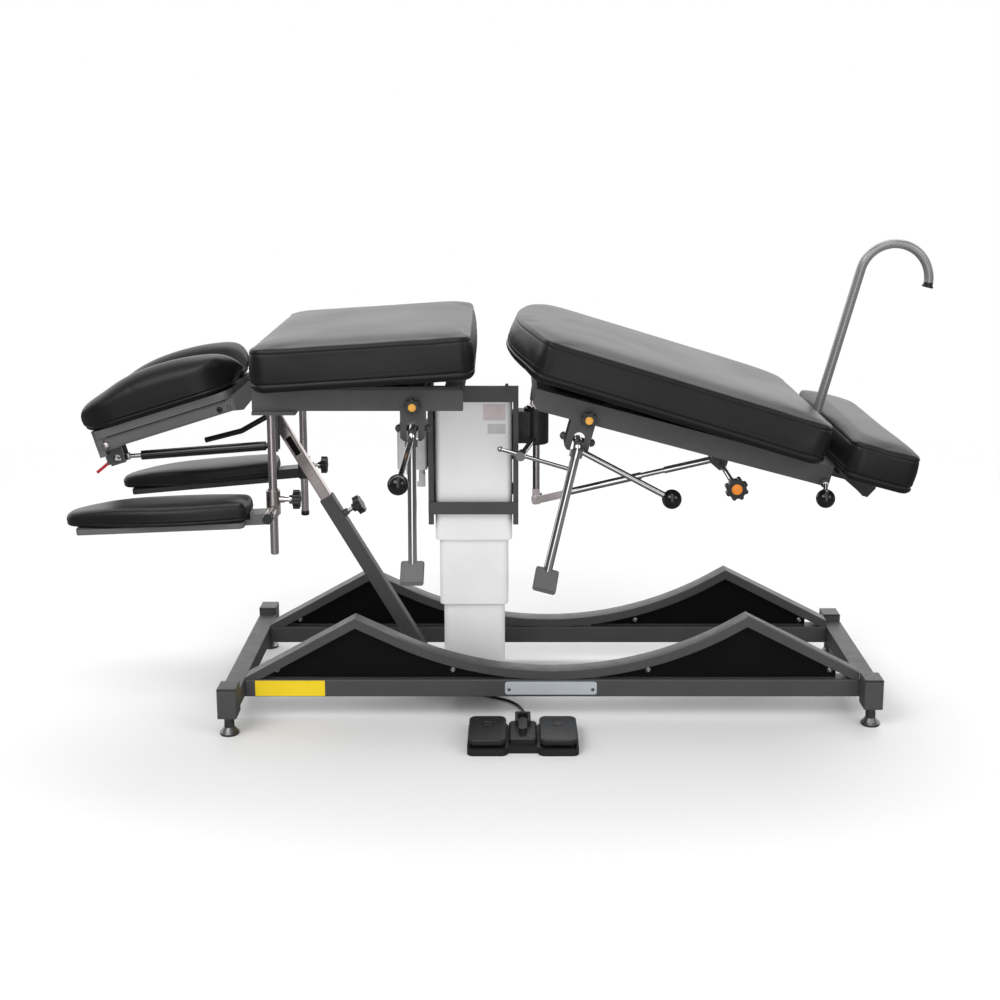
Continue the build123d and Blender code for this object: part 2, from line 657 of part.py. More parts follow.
def head_cushion():
    """A contoured pad with two cheek bolsters, a brow block and a face slot."""
    low = HEAD_BOARD_Z[1] + 1
    top = Spline((-412, 36), (-366, 75), (-330, 86), (-296, 97), (-190, 109), (-90, 98), (-44, 80), (-26, 56))
    side = Line((-26, 56), (-52, low))
    base = Line((-52, low), (-390, low))
    nose = Line((-390, low), (-412, 36))
    profile = make_face(Wire([top, side, base, nose]))
    body = upright(profile, -HEAD_HALF_Y, HEAD_HALF_Y)
    plan = Pos(-219, 0) * RectangleRounded(386, 2 * HEAD_HALF_Y, 100)
    body &= flat(plan, low - 1, 200)
    slot = flat(Pos(-175, 0) * SlotOverall(250, 84), low - 1, 200)
    slot += flat(Pos(-45, 0) * Rectangle(120, 40), 45, 200)
    return body - slot


def head_release_lever():
    """The red squeeze lever at the end of the head frame."""
    blade = Pos(-24, 0) * RectangleRounded(66, 14, 6)
    blade = extrude(blade, amount=7) - rod((0, -10, 3.5), (0, 10, 3.5), 2.56)
    return Pos(RELEASE_PIN[0], 0, RELEASE_PIN[1]) * Rot(0, -22, 0) * Pos(0, 0, -3.5) * blade


# Gas spring, local x from its fixed pivot back towards the head
def spring_tube():
    eye = rod((0, -81.5, 0), (0, -64.5, 0), 10.0) + rod((0, -73, 0), (-20, -73, 0), 7.0)
    tube = rod((-18, -73, 0), (-297, -73, 0), 10.5)
    eye = eye + tube - rod((0, -90, 0), (0, -60, 0), 5.06)
    bore = rod((-40, -73, 0), (-298, -73, 0), 5.06)
    return eye - bore


def spring_rod(length):
    bar = rod((-80, -73, 0), (-length + 22, -73, 0), 5.0)
    fork = block((-length + 2, -length + 24), (-80, -66), (-7, 7))
    eye = rod((-length, -81, 0), (-length, -65, 0), 8.0)
    pin = rod((-length, -94, 0), (-length, -52, 0), 4.0)
    return bar + fork + eye + pin


# Slanting strut, local z along it
def strut_outer():
    half = STRUT_OUTER / 2
    tube = square_tube((-half, half), (-half, half), (-20, STRUT_OUTER_LENGTH), 3.4, "z")
    tube -= rod((0, -30, 0), (0, 30, 0), 6.06)
    boss = rod((half - 1, 0, STRUT_CLAMP), (half + 10, 0, STRUT_CLAMP), 8)
    boss -= rod((half - 6, 0, STRUT_CLAMP), (half + 11, 0, STRUT_CLAMP), 5.06)
    hole = rod((half - 6, 0, STRUT_CLAMP), (half + 1, 0, STRUT_CLAMP), 5.06)
    return tube + boss - hole


def strut_inner(length):
    half = STRUT_INNER / 2
    reach = (STRUT_OUTER_LENGTH - STRUT_OVERLAP, length + 6)
    tube = square_tube((-half, half), (-half, half), reach, 2.5, "z")
    slot = Pos(0, 0, length - 95) * Box(12, 60, 46)
    return tube - slot


def strut_clamp_knob():
    place = facing((STRUT_OUTER / 2 + 32, 0, STRUT_CLAMP), (1, 0, 0))
    knob = lobed_knob(22, 15, 7, 0.5)
    stud = Pos(0, 0, -24) * Cylinder(5, 22)
    return place * (knob + stud + Pos(0, 0, -8) * Cylinder(5, 16))


# Tilt strut of the leg section, local x from the king pin's fork towards the leg frame
def prop_tube():
    """A forked channel at the lower end, then the long outer tube."""
    channel = square_tube((-4, 66), (-12, 12), (-9, 9), 3, "x")
    channel -= block((-20, 18), (-9.0, 9.0), (-20, 20))
    channel += rod((0, -12, 0), (0, -9, 0), 9) + rod((0, 9, 0), (0, 12, 0), 9)
    channel -= rod((0, -20, 0), (0, 20, 0), 5.0)
    tube = pipe((60, 0, 0), (250, 0, 0), 8.5, 2.2)
    plug = rod((52, 0, 0), (66, 0, 0), 8.5)
    return channel + tube + plug


def prop_rod(length):
    bar = rod((150, 0, 0), (length - 10, 0, 0), 6.2)
    sleeve = rod((length - 120, 0, 0), (length - 10, 0, 0), 8.0)
    eye = rod((length, -12, 0), (length, 12, 0), 12.0) - rod((length, -20, 0), (length, 20, 0), 8.5)
    return bar + sleeve + eye


def tilt_lock_knob():
    """The long cross shaft and its knob, which lock the tilt strut."""
    px, pz = LOCK_AXIS
    shaft = rod((px, -17.5, pz), (px, -236, pz), 6.0)
    knob = facing((px, -236, pz), (0, -1, 0)) * (lobed_knob(25, 18, 8, 0.5) + Pos(0, 0, -5) * Cylinder(6, 12))
    return shaft + knob


# Swing bearing between the yoke and the leg section
def swing_housing():
    arm = block((YOKE_X[1], TILT_X - 10), (-24, 24), (HOUSING[0] + 4, HOUSING[1] - 6))
    barrel = rod((TILT_X, 0, HOUSING[0]), (TILT_X, 0, HOUSING[1]), 28.0)
    barrel = fillet(barrel.faces().sort_by(Axis.Z)[0].edges(), 4)
    body = arm + barrel
    body -= rod((TILT_X, 0, HOUSING[0] - 1), (TILT_X, 0, HOUSING[1] + 1), PIN_RADIUS + 0.06)
    start, end = CLAMP_AXIS
    inner = start + (start - end).normalized() * 24
    return body - rod(inner, start + (end - start).normalized() * 6, 5.06)


def king_pin():
    head = rod((TILT_X, 0, HOUSING[1] + 0.3), (TILT_X, 0, HOUSING[1] + 6), 22)
    head += block((TILT_X - 13, TILT_X + 13), (-23.7, 23.7), (HOUSING[1] + 5, TILT_Z + 4))
    head += rod((TILT_X, -38, TILT_Z), (TILT_X, 38, TILT_Z), 7.0)
    for side in (-1, 1):
        head += rod((TILT_X, side * 32.3, TILT_Z), (TILT_X, side * 39, TILT_Z), 11.0)
    pin = rod((TILT_X, 0, PROP_FOOT[1] + 24), (TILT_X, 0, HOUSING[1] + 2), PIN_RADIUS)
    block_end = block((TILT_X - 9, TILT_X + 9), (-8.7, 8.7), (PROP_FOOT[1] - 10, PROP_FOOT[1] + 26))
    bolt = rod((PROP_FOOT[0], -15, PROP_FOOT[1]), (PROP_FOOT[0], 15, PROP_FOOT[1]), 4.94)
    for side in (-1, 1):
        bolt += rod((PROP_FOOT[0], side * 12.3, PROP_FOOT[1]), (PROP_FOOT[0], side * 18, PROP_FOOT[1]), 8.5)
    return head + pin + block_end + bolt


def swing_clamp_bar():
    """The screw that clamps the king pin, with its sliding cross bar."""
    start, end = CLAMP_AXIS
    way = (end - start).normalized()
    inner = start - way * 14.0
    screw = rod(inner, end, 5.0) + rod(start + way * 10, end, 6.5)
    hub = rod(end - way * 9, end + way * 9, 11.0)
    across = Vector(1, 0, -0.2)
    across = (across - way * across.dot(way)).normalized()
    left = end - across * 50
    right = end + across * 118
    bar = rod(left, right, 4.6) + Pos(left) * Sphere(6.5) + Pos(right) * Sphere(6.5)
    return screw + hub + bar


# Armrests, in axes whose origin is on the post at the collar's middle
def arm_bush():
    half = COLLAR_HEIGHT / 2
    return pipe((0, 0, -half), (0, 0, half), 11.0, 11.0 - ARM_POST_RADIUS - 0.06)


def arm_collar(side):
    """The ring that turns on the bush, with a stub tube pointing outwards."""
    inner = 11.0 + 0.06
    ring = pipe((0, 0, -26), (0, 0, 26), 15.0, 15.0 - inner)
    stub = rod((0, side * 13.5, -17), (0, side * 77, -17), 9.0)
    boss = rod((14, 0, 6), (24, 0, 6), 7.0) - rod((10, 0, 6), (25, 0, 6), 5.06)
    hole = rod((10, 0, 6), (15, 0, 6), 5.06)
    cap = rod((0, side * 76, -17), (0, side * 79, -17), 11.0)
    return ring + stub + boss + cap - hole


def arm_rest_arm(side, reach):
    """A sleeve on the stub, a flat bar and the board under the pad, level."""
    sleeve = pipe((0, side * 18, 0), (0, side * 74, 0), 12.0, 2.94)
    y = sorted((side * 22, side * 67))
    bar = block((-38 - reach, -8), y, (-14, 10)) + block((-90 - reach, -30), y, (-14, -2))
    board = flat(Pos(-225 - reach, side * 45) * RectangleRounded(352, 96, 12), -14, -2)
    return sleeve + bar + board - rod((0, side * 10, 0), (0, side * 80, 0), 9.06)


def arm_pad(side, reach):
    """A boat-shaped pad, pointed at its free end."""
    half = 64.0
    plan = make_face(Wire([
        Line((-42, -48), (-42, 48)),
        ThreePointArc((-42, 48), (-230, half), (-402, 34)),
        ThreePointArc((-402, 34), (-430, 0), (-402, -34)),
        ThreePointArc((-402, -34), (-230, -half), (-42, -48)),
    ]))
    pad = flat(Pos(-reach, side * 45) * plan, -1.6, 40)
    pad = fillet(pad.faces().sort_by(Axis.Z)[-1].edges(), 15)
    return fillet(pad.faces().sort_by(Axis.Z)[0].edges(), 5)


def arm_knob():
    knob = facing((43, 0, 6), (1, 0, 0)) * (lobed_knob(21, 14, 7, 0.5) + Pos(0, 0, -8) * Cylinder(5, 16))
    return knob + rod((13, 0, 6), (40, 0, 6), 5.0)


# Foot switch
def switch_base():
    middle_y = (SWITCH_Y[0] + SWITCH_Y[1]) / 2
    deep = SWITCH_Y[1] - SWITCH_Y[0]
    lobes = Sketch()
    for side in (-1, 1):
        lobes += Pos(SWITCH_X + side * 75, middle_y) * RectangleRounded(86, deep - 6, 14)
    plate = flat(lobes + Pos(SWITCH_X, middle_y) * RectangleRounded(110, deep - 34, 8), 0, 15)
    house = flat(Pos(SWITCH_X, middle_y + 2) * RectangleRounded(60, 92, 8), 15, 30)
    house = chamfer(house.faces().sort_by(Axis.Z)[-1].edges(), 4)
    neck = flat(Pos(SWITCH_X, SWITCH_Y[1] - 24) * RectangleRounded(34, 48, 4), 15, 40)
    neck -= block((SWITCH_X - 11, SWITCH_X + 11), (SWITCH_Y[1] - 44, SWITCH_Y[1] - 8), (22, 41))
    hook = Pos(SWITCH_X, middle_y + 8) * RectangleRounded(18, 60, 8)
    hook = extrude(Pos(0, 0, 29) * hook, amount=12)
    gland = rod((119, SWITCH_Y[1] - 6, 20), (119, SWITCH_Y[1], 20), 5.5)
    pockets = block((SWITCH_X - 112, SWITCH_X - 38), (SWITCH_Y[0] + 12, SWITCH_Y[1] - 14), (9, 16))
    pockets += block((SWITCH_X + 38, SWITCH_X + 112), (SWITCH_Y[0] + 12, SWITCH_Y[1] - 14), (9, 16))
    return plate + house + neck + hook + gland - pockets


def switch_pedal(side):
    """One tread, hinged along its rear edge."""
    middle_y = (SWITCH_Y[0] + SWITCH_Y[1]) / 2
    plan = Pos(SWITCH_X + side * 76, middle_y) * RectangleRounded(80, 128, 15)
    tread = flat(plan, 24, 34)
    tread = fillet(tread.faces().sort_by(Axis.Z)[-1].edges(), 3.5)
    plan = Pos(SWITCH_X + side * 75, middle_y) * Rectangle(66, 108)
    return tread + flat(plan, 17, 24)


def cord():
    """The switch's cord, lying on the floor and rising to the gland under the column."""
    points = [Vector(*p) for p in CORD_ROUTE]
    radii = []
    for before, here, after in zip(points, points[1:], points[2:]):
        turn = math.radians((here - before).get_angle(after - here))
        run = min((here - before).length, (after - here).length)
        radii.append(0.45 * run / math.tan(turn / 2))
    print("cord radii in mm:", [round(r) for r in radii])
    path = FilletPolyline(*points, radius=radii)
    tube = sweep(Plane(origin=path @ 0, z_dir=path % 0) * Circle(CORD_RADIUS), path=path)
    print("cord length in mm:", round(path.length), "volume ratio:",
          round(tube.volume / (path.length * math.pi * CORD_RADIUS ** 2), 4))
    return tube


def local(place, point):
    """A design point (x, z) as (x, z) in the axes of a place on the middle plane."""
    spot = place.inverse() * Pos(point[0], 0, point[1])
    return (spot.position.X, spot.position.Z)


LEG = Pos(TILT_X, 0, TILT_Z) * Rot(0, LEG_SLOPE, 0)
HEAD = Pos(HEAD_X, 0, HEAD_Z) * Rot(0, -HEAD_SLOPE, 0)
PROP_LOCAL = local(LEG, PROP_HEAD)
HEAD_FORK = local(HEAD, SPRING_HEAD)
LOCK_AXIS = (PROP_LOCAL[0] + 13.0, PROP_LOCAL[1] - 5.0)
RELEASE_PIN = (-386.0, -74.0)
CLAMP_AXIS = (Vector(TILT_X - 7, -27, 603), Vector(104, -131, 590))


def turned(point, angle):
    """A place that turns about an axis along Y through the point (x, z)."""
    return Pos(point[0], 0, point[1]) * Rot(0, angle, 0) * Pos(-point[0], 0, -point[1])


def along(start, end):
    """Length and slope in degrees of the line between two (x, z) points."""
    dx, dz = end[0] - start[0], end[1] - start[1]
    return math.hypot(dx, dz), math.degrees(math.atan2(dz, dx))


def build():
    below = under_arch()
    far_arch = arch_tube(below)
    nodes["base_rails"] = rails()
    nodes["head_base_beam"] = beam(HEAD_BEAM_X, HEAD_BEAM_HALF)
    nodes["foot_base_beam"] = beam(FOOT_BEAM_X, FOOT_BEAM_HALF)
    nodes["near_arch_tube"] = mirrored(far_arch)
    nodes["far_arch_tube"] = far_arch
    nodes["infill_panels"] = infill_panels(below)
    nodes["post_caps"] = post_caps()
    nodes["levelling_feet"] = levelling_feet()
    nodes["column_bed"] = column_bed()
    nodes["column_lower_stage"] = stage(STAGE_LOWER, LOWER_SPAN, "base")
    nodes["column_middle_stage"] = stage(STAGE_MIDDLE, MIDDLE_SPAN, "open")
    nodes["column_upper_stage"] = stage(STAGE_UPPER, UPPER_SPAN, "top")
    nodes["lift_spindle"] = lift_spindle()
    nodes["column_yoke"] = column_yoke()
    nodes["control_box"] = control_box()
    nodes["chest_frame"] = chest_frame() + head_pin()
    nodes["armrest_posts"] = armrest_posts()

    cocked = turned(CHEST_HINGE, -CHEST_COCK)
    top = CHEST_BOTTOM + BAR_HEIGHT
    board = drop_board((CHEST_X[0] + 5, CHEST_X[1] - 2), (top + 0.6, top + 6.6))
    nodes["chest_drop_board"] = cocked * board
    nodes["chest_cushion"] = cocked * cushion(CHEST_CUSHION_X, CUSHION_HALF_Y, CHEST_CUSHION_Z, 70, 24, 14)
    chest_lever = Pos(CHEST_LEVER_X, 0, CHEST_BOTTOM)
    nodes["chest_pedal_lever"] = chest_lever * pedal_lever(0.0)
    nodes["chest_ball_lever"] = chest_lever * ball_lever(0.0, -93)
    knob = tension_knob(18, -FRAME_HALF_Y)
    nodes["chest_tension_knob"] = Pos(CHEST_LEVER_X + 1, 0, CHEST_BOTTOM + 11) * knob

    length, slope = along(STRUT_FOOT, STRUT_TOP)
    strut = Pos(STRUT_FOOT[0], 0, STRUT_FOOT[1]) * Rot(0, 90 - slope, 0)
    nodes["strut_outer_tube"] = strut * strut_outer()
    nodes["strut_inner_tube"] = strut * strut_inner(length)
    nodes["strut_clamp_knob"] = strut * strut_clamp_knob()

    nodes["swing_housing"] = swing_housing()
    nodes["king_pin"] = king_pin()
    nodes["swing_clamp_bar"] = swing_clamp_bar()
    nodes["leg_frame"] = LEG * leg_frame()
    cocked = LEG * turned(LEG_HINGE, LEG_COCK)
    board = drop_board((LEG_FRAME_X[0] + 6, LEG_FRAME_X[1] - 30), (LEG_TOP + 0.6, LEG_TOP + 6.6))
    nodes["leg_drop_board"] = cocked * board
    nodes["leg_cushion"] = cocked * cushion(LEG_CUSHION_X, CUSHION_HALF_Y, LEG_CUSHION_Z, 80, 22, 14)
    leg_lever = LEG * Pos(LEG_LEVER_X, 0, LEG_BOTTOM)
    nodes["leg_pedal_lever"] = leg_lever * pedal_lever(LEG_LEAN)
    nodes["leg_ball_lever"] = leg_lever * ball_lever(LEG_LEAN, 0)
    nodes["leg_tension_knob"] = LEG * Pos(LEG_LEVER_X + 9, 0, LEG_BOTTOM + 11) * knob
    length, slope = along(PROP_FOOT, PROP_HEAD)
    prop = Pos(PROP_FOOT[0], 0, PROP_FOOT[1]) * Rot(0, -slope, 0)
    nodes["tilt_strut_tube"] = prop * prop_tube()
    nodes["tilt_strut_rod"] = prop * prop_rod(length)
    nodes["tilt_lock_knob"] = LEG * tilt_lock_knob()
    nodes["foot_slide"] = LEG * foot_slide()
    nodes["foot_cushion"] = LEG * cushion(FOOT_CUSHION_X, CUSHION_HALF_Y - 2, FOOT_CUSHION_Z, 34, 20, 12)
    nodes["foot_lock_lever"] = LEG * foot_lock_lever()
    nodes["cane_handle"] = LEG * cane_handle()

    nodes["head_frame"] = HEAD * head_frame()
    nodes["head_cushion"] = HEAD * head_cushion()
    nodes["head_release_lever"] = HEAD * head_release_lever()
    length, slope = along(SPRING_HEAD, SPRING_FIXED)
    spring = Pos(SPRING_FIXED[0], 0, SPRING_FIXED[1]) * Rot(0, -slope, 0)
    nodes["head_spring_tube"] = spring * spring_tube()
    nodes["head_spring_rod"] = spring * spring_rod(length)

    arms = (("near", -1, NEAR_COLLAR_Z, NEAR_ARM_SLOPE, 0.0), ("far", 1, FAR_COLLAR_Z, FAR_ARM_SLOPE, 28.0))
    for name, side, z, slope, reach in arms:
        post = Pos(ARM_POST_X, side * ARM_POST_Y, z)
        arm = post * Pos(0, 0, -17) * Rot(0, -slope, 0)
        nodes[name + "_arm_bush"] = post * arm_bush()
        nodes[name + "_arm_collar"] = post * arm_collar(side)
        nodes[name + "_arm"] = arm * arm_rest_arm(side, reach)
        nodes[name + "_arm_pad"] = arm * arm_pad(side, reach)
        nodes[name + "_arm_knob"] = post * arm_knob()

    nodes["foot_switch_base"] = switch_base()
    nodes["foot_switch_up_pedal"] = switch_pedal(-1)
    nodes["foot_switch_down_pedal"] = switch_pedal(1)
    nodes["foot_switch_cord"] = cord()


build()
os.makedirs("parts", exist_ok=True)
for name, shape in nodes.items():
    export_step(Pos(FRAME_X, FRAME_Y, 0) * shape, f"parts/{name}.step")
print(len(nodes), "nodes")
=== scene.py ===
import math

import bmesh
import bpy
from mathutils import Matrix, Vector

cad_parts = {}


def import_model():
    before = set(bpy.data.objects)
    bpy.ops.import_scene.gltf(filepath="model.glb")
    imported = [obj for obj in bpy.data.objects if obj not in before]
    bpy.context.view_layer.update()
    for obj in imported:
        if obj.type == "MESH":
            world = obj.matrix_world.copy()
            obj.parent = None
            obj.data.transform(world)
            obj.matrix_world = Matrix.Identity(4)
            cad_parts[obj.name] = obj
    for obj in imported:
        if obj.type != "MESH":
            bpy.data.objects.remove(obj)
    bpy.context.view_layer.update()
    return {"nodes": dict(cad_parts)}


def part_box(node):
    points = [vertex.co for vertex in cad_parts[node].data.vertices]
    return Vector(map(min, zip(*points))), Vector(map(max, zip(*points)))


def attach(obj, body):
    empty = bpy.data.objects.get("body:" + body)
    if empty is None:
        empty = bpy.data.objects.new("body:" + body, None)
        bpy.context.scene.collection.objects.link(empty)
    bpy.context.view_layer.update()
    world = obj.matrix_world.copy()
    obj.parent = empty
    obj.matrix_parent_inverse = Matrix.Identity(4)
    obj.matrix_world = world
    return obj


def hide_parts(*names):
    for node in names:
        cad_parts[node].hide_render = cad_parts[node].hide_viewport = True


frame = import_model()
nodes = frame["nodes"]


# Design axes: millimetres, on the floor under the lifting column
SHIFT = Vector((-0.073, 0.0855, 0.0))
TILT = (139.0, 690.0)
LEG_SLOPE = 15.0
HEAD_AXIS = (-480.0, 742.0)
HEAD_SLOPE = 17.5
CHEST_COCK = 3.7
LEG_COCK = 2.0
NEAR_PAD_SLOPE = -2.4
FAR_PAD_SLOPE = -5.2

# Places that several pieces share, in the design axes' millimetres
STRUT_FOOT = (-116, 0, 72)
STRUT_TOP = (-464, 0, 666)
POST_X = -428
POST_Y = 225
RAIL_FRONT = -190.0
COLUMN_FRONT = -77.0
LOCK_KNOB = (445.7, -31.9)
SWITCH_X = 107

# Camera, fitted to the photograph's base frame
CAMERA_AT = (88.0, -3200.0, 1301.3)
CAMERA_PITCH = 10.0
CAMERA_LENS = 51.48
CAMERA_SENSOR = 36.0
CAMERA_SHIFT = (-0.014, -0.12085)

# Stage, in metres and scene units
FLOOR_RADIUS = 14.0
FLOOR_FADE = (1.3, 3.4)
LAMP_AIM = (0, 0, 0.55)
GLOSS_DIM = 0.1
GLOSS_PALE = 1.6
EVEN_LIGHT = 0.8

# Rounding of the edges of square tube and of bent sheet, in metres
TUBE_ROUND = 0.0028
SHEET_ROUND = 0.0012

# Upholstery, in metres above a cushion's underside; the droop starts at a share of the half width
SEAM_UP = 0.017
THREAD_OVER_SEAM = 0.0075
THREAD_PITCH = 0.0052
THREAD_RADIUS = 0.00055
BAND_HELD = 0.012
DROOP_HEIGHT = 0.05
DROOP_FROM = 0.78
CLOTH_STEPS = 20

# Side of a flat cushion, as (inset from the plan, height from the top, from the seam, from the underside)
TOP_EDGE = (
    (0.0036, -0.0007), (0.0012, -0.0026), (0.0, -0.006), (0.0001, -0.0086), (0.001, -0.0098),
    (0.0001, -0.011), (-0.0005, -0.014),
)
SEAM_EDGE = (
    (-0.0006, 0.0055), (-0.0003, 0.0026), (0.0016, 0.0007), (0.0025, 0.0), (0.0016, -0.0007),
    (-0.0004, -0.0026), (-0.0008, -0.006),
)
UNDER_EDGE = ((0.0016, 0.007), (0.0062, 0.0022))
TOP_INSET = 0.007
UNDER_INSET = 0.0125
SIDE_BULGE = 0.0015


# Places
def at(x, y, z):
    """A point given in the design axes, in the scene's metres."""
    return Vector((x, y, z)) / 1000.0 + SHIFT


def design(point):
    """A point of the scene, back in the design axes."""
    return (point - SHIFT) * 1000.0


def turn_y(degrees):
    """A turn about the table's cross axis."""
    return Matrix.Rotation(math.radians(degrees), 4, "Y")


def leg_at(x, y, z):
    """A point of the leg section, x along it and z square to it."""
    return at(TILT[0], 0, TILT[1]) + turn_y(LEG_SLOPE) @ (Vector((x, y, z)) / 1000.0)


def head_at(x, y, z):
    """A point of the head section, x along it and z square to it."""
    return at(HEAD_AXIS[0], 0, HEAD_AXIS[1]) + turn_y(-HEAD_SLOPE) @ (Vector((x, y, z)) / 1000.0)


# Objects
def new_object(name, mesh):
    """A new piece of the scene from its mesh or curve."""
    obj = bpy.data.objects.new(name, mesh)
    bpy.context.scene.collection.objects.link(obj)
    return obj


def from_bmesh(name, bm, material, body, smooth=True):
    """Turns a bmesh into a piece that rides on a body."""
    bmesh.ops.recalc_face_normals(bm, faces=bm.faces)
    mesh = bpy.data.meshes.new(name)
    bm.to_mesh(mesh)
    bm.free()
    mesh.polygons.foreach_set("use_smooth", [smooth] * len(mesh.polygons))
    obj = new_object(name, mesh)
    obj.data.materials.append(material)
    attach(obj, body)
    return obj


def facing(point, direction):
    """A place at a point whose z axis looks along the direction."""
    return Matrix.Translation(point) @ Vector(direction).to_track_quat("Z", "Y").to_matrix().to_4x4()


def lathe(bm, place, profile, steps=32):
    """Spins (radius, height) points round the place's z axis."""
    rings = []
    for radius, height in profile:
        if radius == 0:
            rings.append([bm.verts.new(place @ Vector((0, 0, height)))])
            continue
        ring = []
        for i in range(steps):
            angle = 2 * math.pi * i / steps
            rim = Vector((radius * math.cos(angle), radius * math.sin(angle), height))
            ring.append(bm.verts.new(place @ rim))
        rings.append(ring)
    for low, high in zip(rings, rings[1:]):
        for i in range(steps):
            j = (i + 1) % steps
            corners = [low[i % len(low)], low[j % len(low)], high[j % len(high)], high[i % len(high)]]
            kept = list(dict.fromkeys(corners))
            if len(kept) > 2:
                bm.faces.new(kept)


def plate(bm, place, wide, tall, thick, radius, steps=6):
    """A thin plate with rounded corners, its back on the place's xy plane and a softened face."""
    def loop(inset, height):
        points = []
        for cx, cy, start in ((1, 1, 0), (-1, 1, 90), (-1, -1, 180), (1, -1, 270)):
            for i in range(steps + 1):
                angle = math.radians(start + 90 * i / steps)
                x = cx * (wide / 2 - radius) + (radius - inset) * math.cos(angle)
                y = cy * (tall / 2 - radius) + (radius - inset) * math.sin(angle)
                points.append(bm.verts.new(place @ Vector((x, y, height))))
        return points

    soft = min(thick * 0.4, radius * 0.4)
    loops = [loop(0, 0), loop(0, thick - soft), loop(soft * 0.35, thick - soft * 0.3), loop(soft, thick)]
    for low, high in zip(loops, loops[1:]):
        for i in range(len(low)):
            j = (i + 1) % len(low)
            bm.faces.new((low[i], low[j], high[j], high[i]))
    bm.faces.new(loops[-1])
    bm.faces.new(loops[0][::-1])


# Floor, light and camera
def stage():
    """A round floor and three soft lamps, as (name, place, size, power)."""
    bm = bmesh.new()
    bmesh.ops.create_circle(bm, cap_ends=True, radius=FLOOR_RADIUS, segments=96)
    mesh = bpy.data.meshes.new("floor")
    bm.to_mesh(mesh)
    bm.free()
    floor = new_object("floor", mesh)
    floor.data.materials.append(floor_material())
    lamps = (
        ("key", (-2.2, -3.0, 3.6), (2.6, 2.0), 70.0),
        ("fill", (3.2, -2.6, 2.4), (2.2, 2.0), 30.0),
        ("top", (0.2, 1.6, 3.4), (4.2, 1.4), 48.0),
    )
    for name, place, size, power in lamps:
        data = bpy.data.lights.new(name, "AREA")
        data.shape = "RECTANGLE"
        data.size, data.size_y = size
        data.energy = power
        lamp = bpy.data.objects.new(name, data)
        lamp.location = place
        lamp.rotation_mode = "QUATERNION"
        lamp.rotation_quaternion = (Vector(LAMP_AIM) - Vector(place)).to_track_quat("-Z", "Y")
        bpy.context.scene.collection.objects.link(lamp)


def floor_material():
    """Pale floor that fades into the background away from the object."""
    mat = bpy.data.materials.new("floor_pale")
    mat.use_nodes = True
    nt = mat.node_tree
    bsdf = nt.nodes["Principled BSDF"]
    bsdf.inputs["Base Color"].default_value = (0.93, 0.93, 0.93, 1)
    bsdf.inputs["Roughness"].default_value = 0.85
    bsdf.inputs["Specular IOR Level"].default_value = 0.1
    coords = nt.nodes.new("ShaderNodeTexCoord")
    length = nt.nodes.new("ShaderNodeVectorMath")
    length.operation = "LENGTH"
    nt.links.new(coords.outputs["Object"], length.inputs[0])
    fade = nt.nodes.new("ShaderNodeMapRange")
    fade.interpolation_type = "SMOOTHSTEP"
    fade.inputs["From Min"].default_value = FLOOR_FADE[0]
    fade.inputs["From Max"].default_value = FLOOR_FADE[1]
    nt.links.new(length.outputs["Value"], fade.inputs["Value"])
    clear = nt.nodes.new("ShaderNodeBsdfTransparent")
    # Greyer in the gloss of what stands on it, so that dark leather keeps its depth
    path = nt.nodes.new("ShaderNodeLightPath")
    grey = nt.nodes.new("ShaderNodeBsdfDiffuse")
    grey.inputs["Color"].default_value = (0.2, 0.2, 0.2, 1)
    seen = nt.nodes.new("ShaderNodeMixShader")
    nt.links.new(path.outputs["Is Glossy Ray"], seen.inputs[0])
    nt.links.new(bsdf.outputs[0], seen.inputs[1])
    nt.links.new(grey.outputs[0], seen.inputs[2])
    mix = nt.nodes.new("ShaderNodeMixShader")
    nt.links.new(fade.outputs["Result"], mix.inputs[0])
    nt.links.new(seen.outputs[0], mix.inputs[1])
    nt.links.new(clear.outputs[0], mix.inputs[2])
    nt.links.new(mix.outputs[0], nt.nodes["Material Output"].inputs["Surface"])
    return mat


